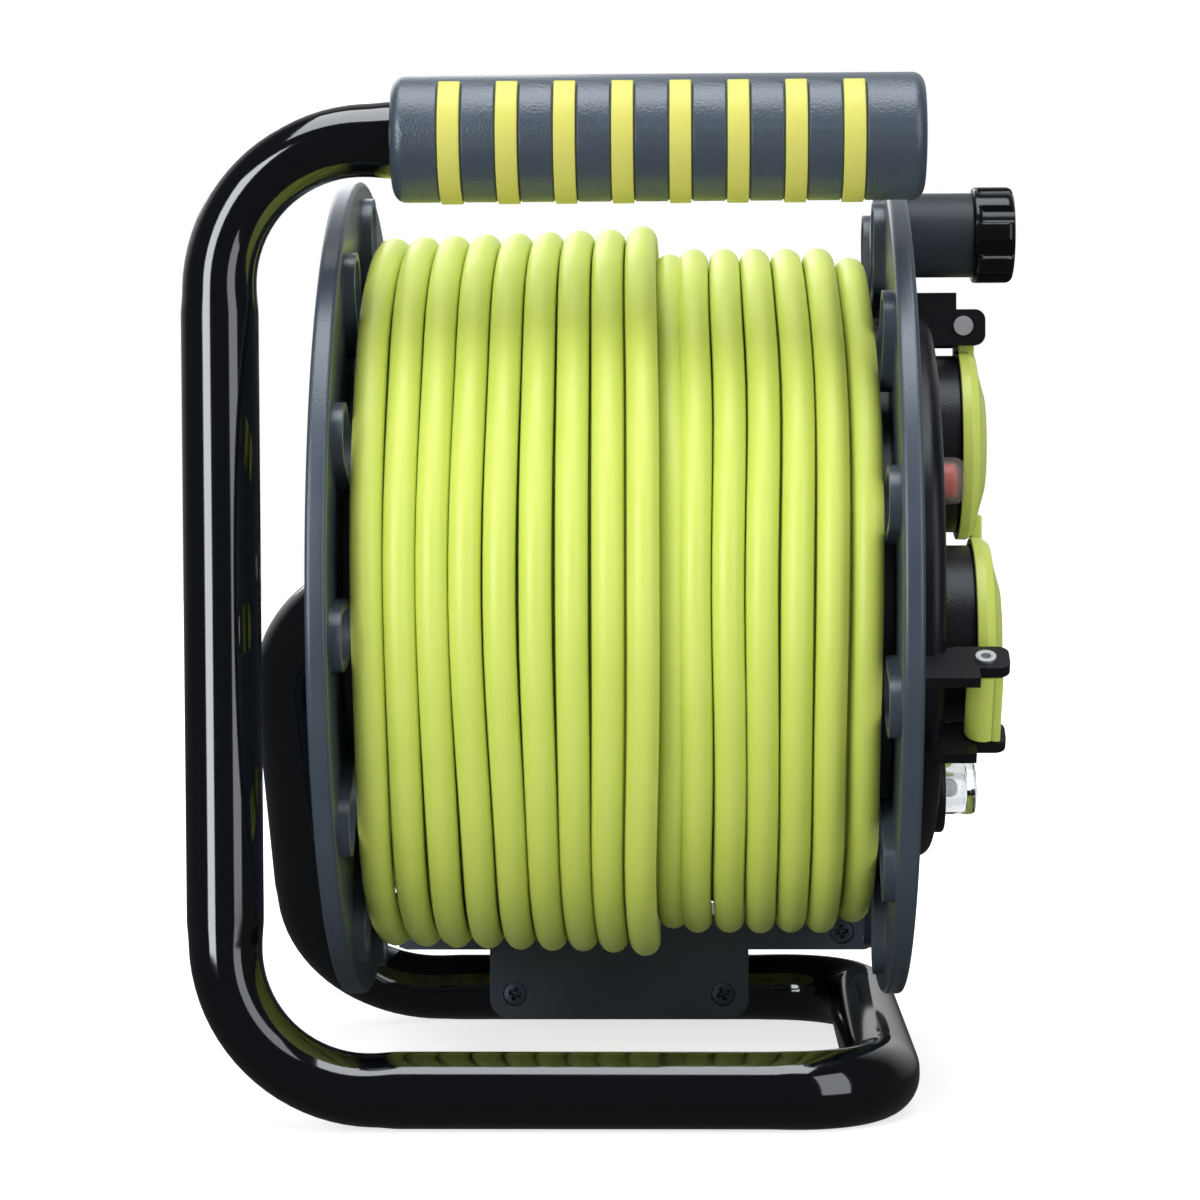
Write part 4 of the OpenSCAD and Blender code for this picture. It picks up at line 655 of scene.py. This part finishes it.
def lid_shape():
    """One lid over its socket: local Z out of the panel, local X toward the hinge."""
    shell = lathe([(r, z + LID_Z) for r, z in rounded(dome, 0.5, 5)], segments=96)
    low, high = HINGE_SIDE - BARREL_LEN / 2, HINGE_SIDE + BARREL_LEN / 2
    section = rectangle(BARREL_BORE_R, BARREL_R, -BARREL_LEN / 2, BARREL_LEN / 2, 0.35)
    to_hinge = Matrix.Translation(Vector((HINGE_OUT, HINGE_SIDE, HINGE_RISE)) * MM)
    barrel = placed(lathe(section, segments=48), to_hinge @ Matrix.Rotation(math.pi / 2, 4, "X"))
    arm_plan = rectangle(LID_R - ARM_SUNK, HINGE_OUT - ARM_CLEAR, low, high, 0.4)
    arm = prism(arm_plan, LID_Z, LID_Z + ARM_T)
    leaf_plan = rectangle(HINGE_OUT + ARM_CLEAR, HINGE_OUT + BARREL_R - LEAF_SHORT, low, high, 0.3)
    leaf = prism(leaf_plan, LID_Z + LEAF_LOW, LID_Z + LEAF_HIGH)
    tab_top = LID_Z + LID_H - TAB_BELOW_TOP
    tab = prism(rectangle(-TAB_OUT, -TAB_IN, -TAB_W / 2, TAB_W / 2, 1.2), tab_top - TAB_T, tab_top, 0.5)
    rib_section = rectangle(RIB_R0, RIB_R1, RIB_LOW, RIB_HIGH, 0.2)
    rib = lathe([(r, z + LID_Z) for r, z in rib_section], segments=72)
    return joined([shell, barrel, arm, leaf, tab, rib])


lid_parts = lid_shape()
for k in range(3):
    to_socket = facing(90 - 120 * k, SOCKET_X, SOCKET_Y, PANEL_X)
    verts, faces = placed(lid_parts, to_socket)
    name, body = f"lid_cover_{k + 1}", f"lid_{k + 1}"
    lid = piece(name, verts, faces, body, materials["lime_plastic"], sharp=28)
    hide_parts(body)

# ---- crank knob: eight hollows that run out before the rim beside the post ----
KNOB_R, KNOB_LEN, KNOB_X, CRANK_R, KNOB_ROUND = 13.3, 11.2, 97.85, 98.1, 2
HOLLOWS, HOLLOW_W, HOLLOW_DEPTH, HOLLOW_EDGE = 8, 5.6, 1.5, 0.9
KNOB_RIM, KNOB_BEVEL, BEVEL_SLOPE, RUN_IN_EARLY, RUN_IN = 1.4, 0.6, 0.6, 0.2, 0.7
WELL_R, WELL_FLARE, WELL_EDGE, WELL_FLOOR, BORE_R, FOOT_EDGE = 7.2, 0.2, 0.3, 7.2, 4.1, 0.4


def knob_radius(z, radius, angle):
    """The hollows are straight-sided and softly edged, and begin past the rim."""
    place = (angle / math.tau * HOLLOWS) % 1.0
    across = min(place, 1 - place) * math.tau / HOLLOWS * KNOB_R
    begun = ease((z - KNOB_RIM + RUN_IN_EARLY) / RUN_IN)
    dip = HOLLOW_DEPTH * ease((HOLLOW_W / 2 - across) / HOLLOW_EDGE) * begun
    return min(radius, KNOB_R - dip)


def knob_shape(sides=192):
    """The knob from its foot by the post, up its side, round its end and down inside."""
    rise = [0, 0.25, KNOB_BEVEL, 1.2, KNOB_RIM, 1.7, 2.0, 2.5, 4, 6, 8, 9.2]
    rows = [(z, KNOB_R - max(KNOB_BEVEL - z, 0) * BEVEL_SLOPE) for z in rise]
    rows += [
        (KNOB_LEN - KNOB_ROUND + KNOB_ROUND * math.sin(a), KNOB_R - KNOB_ROUND + KNOB_ROUND * math.cos(a))
        for a in (0.3, 0.6, 0.9, 1.2, 1.57)
    ]
    verts = []
    for z, radius in rows:
        verts += ring(lambda angle: knob_radius(z, radius, angle), z, sides)
    inside = [
        (WELL_R + WELL_FLARE, KNOB_LEN), (WELL_R, KNOB_LEN - WELL_EDGE), (WELL_R, WELL_FLOOR),
        (BORE_R, WELL_FLOOR), (BORE_R, 0), (KNOB_R - FOOT_EDGE, 0),
    ]
    for radius, z in inside:
        verts += ring(radius, z, sides)
    return verts, ring_faces(len(rows) + len(inside), sides, closed=True)


to_crank = facing(90, CRANK_R, 0, KNOB_X) @ Matrix.Rotation(math.pi / HOLLOWS, 4, "Z")
verts, faces = placed(knob_shape(), to_crank)
knob = piece("knob_cap", verts, faces, "knob", KNOB_PLASTIC, sharp=40)
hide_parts("crank_knob")

# ---- the flanges' rolled rims, turned finer than the solids that carry them ----
FLANGE_R, RIM_T, RIM_W, WEB_X, SKIN = 113.7, 3.2, 5.4, 71.65, 0.06
RIM_ROUND = RIM_T / 2 + SKIN * 0.9  # just under half the skin's own thickness


def rolled_rim(side):
    """A thin skin round a flange's rim."""
    inner, outer = FLANGE_R - RIM_T - SKIN, FLANGE_R + SKIN
    outline = rectangle(inner, outer, WEB_X - SKIN, WEB_X + RIM_W + SKIN, RIM_ROUND, 12)
    return placed(lathe([(r, x * side) for r, x in outline], segments=288), facing(0))


for side, word in ((-1, "left"), (1, "right")):
    verts, faces = rolled_rim(side)
    piece(f"rim_{word}", verts, faces, "drum", materials["slate_plastic"], sharp=60)

# ---- lens of the lamp: a thick moulded cap with flutes inside ----
LAMP_R, LAMP_ANGLE, LAMP_FOOT = 57, -78.5, 3.7
LENS_R, LENS_H, LENS_TOP_T, LENS_WALL, LENS_TAPER = 7.25, 8.8, 2.6, 1.7, 0.7
LENS_CHAMFER, LENS_ROUND, CEILING_ROUND = 0.4, 1.5, 0.8
FLUTES, FLUTE_DEPTH, FLUTES_FULL_R = 6, 0.2, 3


def fluted(radius, angle):
    """The radius inside, less the flutes, which fade out toward the middle of the ceiling."""
    return radius - FLUTE_DEPTH * abs(math.sin(angle * FLUTES / 2)) * min(1, radius / FLUTES_FULL_R)


def lens_shape(sides=96):
    top, foot, ceiling = LENS_R - LENS_WALL - LENS_TAPER, LENS_R - LENS_WALL, LENS_H - LENS_TOP_T
    outer = [(LENS_R - LENS_CHAMFER, 0, 0), (LENS_R, LENS_CHAMFER, 0.1), (LENS_R, LENS_H, LENS_ROUND)]
    outer.append((0, LENS_H, 0))
    inner = [(0, ceiling, 0), (top, ceiling, CEILING_ROUND), (foot, 0, 0)]
    verts = []
    for radius, z in rounded(outer, 0, 6):
        verts += ring(radius, z, sides)
    for radius, z in rounded(inner, 0, 6):
        verts += ring(lambda angle: fluted(radius, angle), z, sides)
    return verts, ring_faces(len(verts) // sides, sides, closed=True)


verts, faces = placed(lens_shape(), facing(LAMP_ANGLE, LAMP_R, 0, PANEL_X + LAMP_FOOT))
lens = piece("lens_cap", verts, faces, "drum", materials["clear_lens"], sharp=40)
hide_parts("lamp_lens")

# ---- the clamp plate's screws: small dark cross-recessed heads ----
TAB_X, TAB_SCREW_PITCH, BAR_X, BAR_SCREW_PITCH, BAR_SCREW_RISE = -3.2, 63.6, 1.7, 126, 19.1
SCREW_FACE_Y, SCREW_R, SCREW_LEN, SCREW_TURN, SCREW_TURN_STEP = 73.9, 1.8, 23.5, 0.3, 0.9
HEAD_R, HEAD_SUNK, HEAD_DOME, HEAD_RIM, HEAD_UNDER = 3.5, 0.35, 0.25, 2.4, 2.5
CROSS_DEPTH, CROSS_HALF_W, CROSS_SLOPE, CROSS_R, CROSS_END = 1.3, 0.62, 0.25, 2.0, 0.4
SCREWS = [(TAB_X + side * TAB_SCREW_PITCH / 2, RAIL_Z) for side in (-1, 1)]
SCREWS += [(BAR_X + side * BAR_SCREW_PITCH / 2, RAIL_Z + BAR_SCREW_RISE) for side in (-1, 1)]


def head_point(radius, angle):
    """A point of the domed face with its cross pressed in; local Z into the plate, in mm."""
    x, y = radius * math.cos(angle), radius * math.sin(angle)
    dome = HEAD_DOME * (radius / HEAD_R) ** 2
    arm = min(abs(x), abs(y))
    recess = CROSS_DEPTH * ease((CROSS_HALF_W - arm) / CROSS_SLOPE) * ease((CROSS_R - radius) / CROSS_END)
    return Vector((x, y, HEAD_SUNK + dome + recess))


def screw_shape(sides=72):
    """The head's face, its edge and underside, and the shank."""
    radii = [0, 0.35, 0.7, 1.05, 1.4, 1.75, 2.1, 2.5, 2.9, 3.2, HEAD_R]
    verts = [head_point(r, math.tau * i / sides) * MM for r in radii for i in range(sides)]
    for r, z in ((HEAD_R, HEAD_RIM), (SCREW_R, HEAD_UNDER), (SCREW_R, SCREW_LEN)):
        verts += ring(r, z, sides)
    end = list(range(len(verts) - sides, len(verts)))
    return verts, ring_faces(len(verts) // sides, sides) + [end]


into_plate = Matrix.Rotation(-math.pi / 2, 4, "X")
screw_parts = []
for i, (x, z) in enumerate(SCREWS):
    seat = Matrix.Translation(at(x, SCREW_FACE_Y, z)) @ into_plate
    turn = Matrix.Rotation(SCREW_TURN + SCREW_TURN_STEP * i, 4, "Z")
    screw_parts.append(placed(screw_shape(), seat @ turn))
verts, faces = joined(screw_parts)
screws = piece("plate_screws", verts, faces, "frame", DARK_ZINC, sharp=50)
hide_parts("holder_screws")

# ---- floor, backdrop and light ----
FLOOR_HALF, FLOOR_GREY = 3.0, 0.55
# the floor's own white rises from NEAR_FILL to FAR_FILL between two distances from its middle
FILL_NEAR, FILL_FAR, NEAR_FILL, FAR_FILL = 0.1, 0.5, 0.72, 1.1
# the world's strength: to plain rays, and to gloss that looks to the front or down
AMBIENT, FRONT_GLOSS = 0.4, 0.05
# where gloss begins to see the backdrop, by its direction's Z and Y
GLOSS_LOW_Z, GLOSS_HIGH_Z, GLOSS_FRONT_Y = -0.1, 0.4, 0.3
# place from the axle in metres, width, height and watts of each area lamp
SOFTBOXES = {
    "key": ((-0.8, -1.15, 0.25), 0.52, 1.15, 12),
    "strip": ((0.85, -0.95, 0.3), 0.6, 1.2, 4.4),
    "top": ((-0.05, -0.3, 1.1), 1.0, 0.9, 12),
    "back": ((-0.4, 1.1, 0.7), 0.7, 0.7, 4),
}


def seen_rays(owner):
    """The light path of a material or world, and 1 for rays from the camera and through glass."""
    rays = node(owner, "ShaderNodeLightPath")
    seen = node(
        owner, "ShaderNodeMath",
        [(rays.outputs["Is Camera Ray"], 0), (rays.outputs["Is Transmission Ray"], 1)], operation="MAXIMUM",
    )
    return rays, seen


def pale_floor():
    """White to the camera from a little way off; near the reel it is plainly lit and keeps its shadow."""
    mesh = bpy.data.meshes.new("floor")
    corners = [(x * FLOOR_HALF, y * FLOOR_HALF, 0) for x, y in ((-1, -1), (1, -1), (1, 1), (-1, 1))]
    mesh.from_pydata(corners, [], [[0, 1, 2, 3]])
    floor = bpy.data.objects.new("floor", mesh)
    bpy.context.scene.collection.objects.link(floor)
    material = shader("floor", [FLOOR_GREY] * 3, 0.9, Specular_IOR_Level=0.1, Emission_Color=(1, 1, 1, 1))
    place = node(material, "ShaderNodeTexCoord")
    away = node(material, "ShaderNodeVectorMath", [(place.outputs["Object"], 0)], operation="LENGTH")
    fill = node(
        material, "ShaderNodeMapRange", [(away.outputs["Value"], "Value")],
        From_Min=FILL_NEAR, From_Max=FILL_FAR, To_Min=NEAR_FILL, To_Max=FAR_FILL,
    )
    _, seen = seen_rays(material)
    glow = node(
        material, "ShaderNodeMath", [(fill.outputs["Result"], 0), (seen.outputs[0], 1)],
        operation="MULTIPLY",
    )
    principled = material.node_tree.nodes["Principled BSDF"]
    material.node_tree.links.new(glow.outputs[0], principled.inputs["Emission Strength"])
    mesh.materials.append(material)
    floor.visible_glossy = False


def studio_world():
    """White to the camera and to glass. Gloss sees the white backdrop that rises behind the reel and
    the darker room round it. All else gets an even ambient light."""
    world = bpy.data.worlds.new("studio")
    bpy.context.scene.world = world
    world.use_nodes = True
    background = world.node_tree.nodes["Background"]
    background.inputs["Color"].default_value = (1, 1, 1, 1)
    rays, seen = seen_rays(world)
    place = node(world, "ShaderNodeTexCoord")
    parts = node(world, "ShaderNodeSeparateXYZ", [(place.outputs["Generated"], 0)])
    above = node(
        world, "ShaderNodeMapRange", [(parts.outputs["Z"], "Value")],
        From_Min=GLOSS_LOW_Z, From_Max=GLOSS_HIGH_Z, To_Min=FRONT_GLOSS, To_Max=1.0,
    )
    behind = node(
        world, "ShaderNodeMapRange", [(parts.outputs["Y"], "Value"), (above.outputs["Result"], "To Max")],
        From_Min=GLOSS_FRONT_Y, From_Max=1.0, To_Min=FRONT_GLOSS,
    )
    plain = node(
        world, "ShaderNodeMapRange",
        [(rays.outputs["Is Glossy Ray"], "Value"), (behind.outputs["Result"], "To Max")], To_Min=AMBIENT,
    )
    strength = node(
        world, "ShaderNodeMapRange", [(seen.outputs[0], "Value"), (plain.outputs["Result"], "To Min")],
        To_Max=1.0,
    )
    world.node_tree.links.new(strength.outputs["Result"], background.inputs["Strength"])


def softbox(name, offset, width, height, power):
    """An area lamp that looks at the axle."""
    lamp = bpy.data.lights.new(name, "AREA")
    lamp.shape = "RECTANGLE"
    lamp.size, lamp.size_y, lamp.energy = width, height, power
    obj = bpy.data.objects.new(name, lamp)
    bpy.context.scene.collection.objects.link(obj)
    obj.location = AXLE + Vector(offset)
    obj.rotation_euler = (AXLE - obj.location).to_track_quat("-Z", "Y").to_euler()


pale_floor()
studio_world()
for name, row in SOFTBOXES.items():
    softbox(name, *row)

scene = bpy.context.scene
scene.view_settings.view_transform = "Standard"
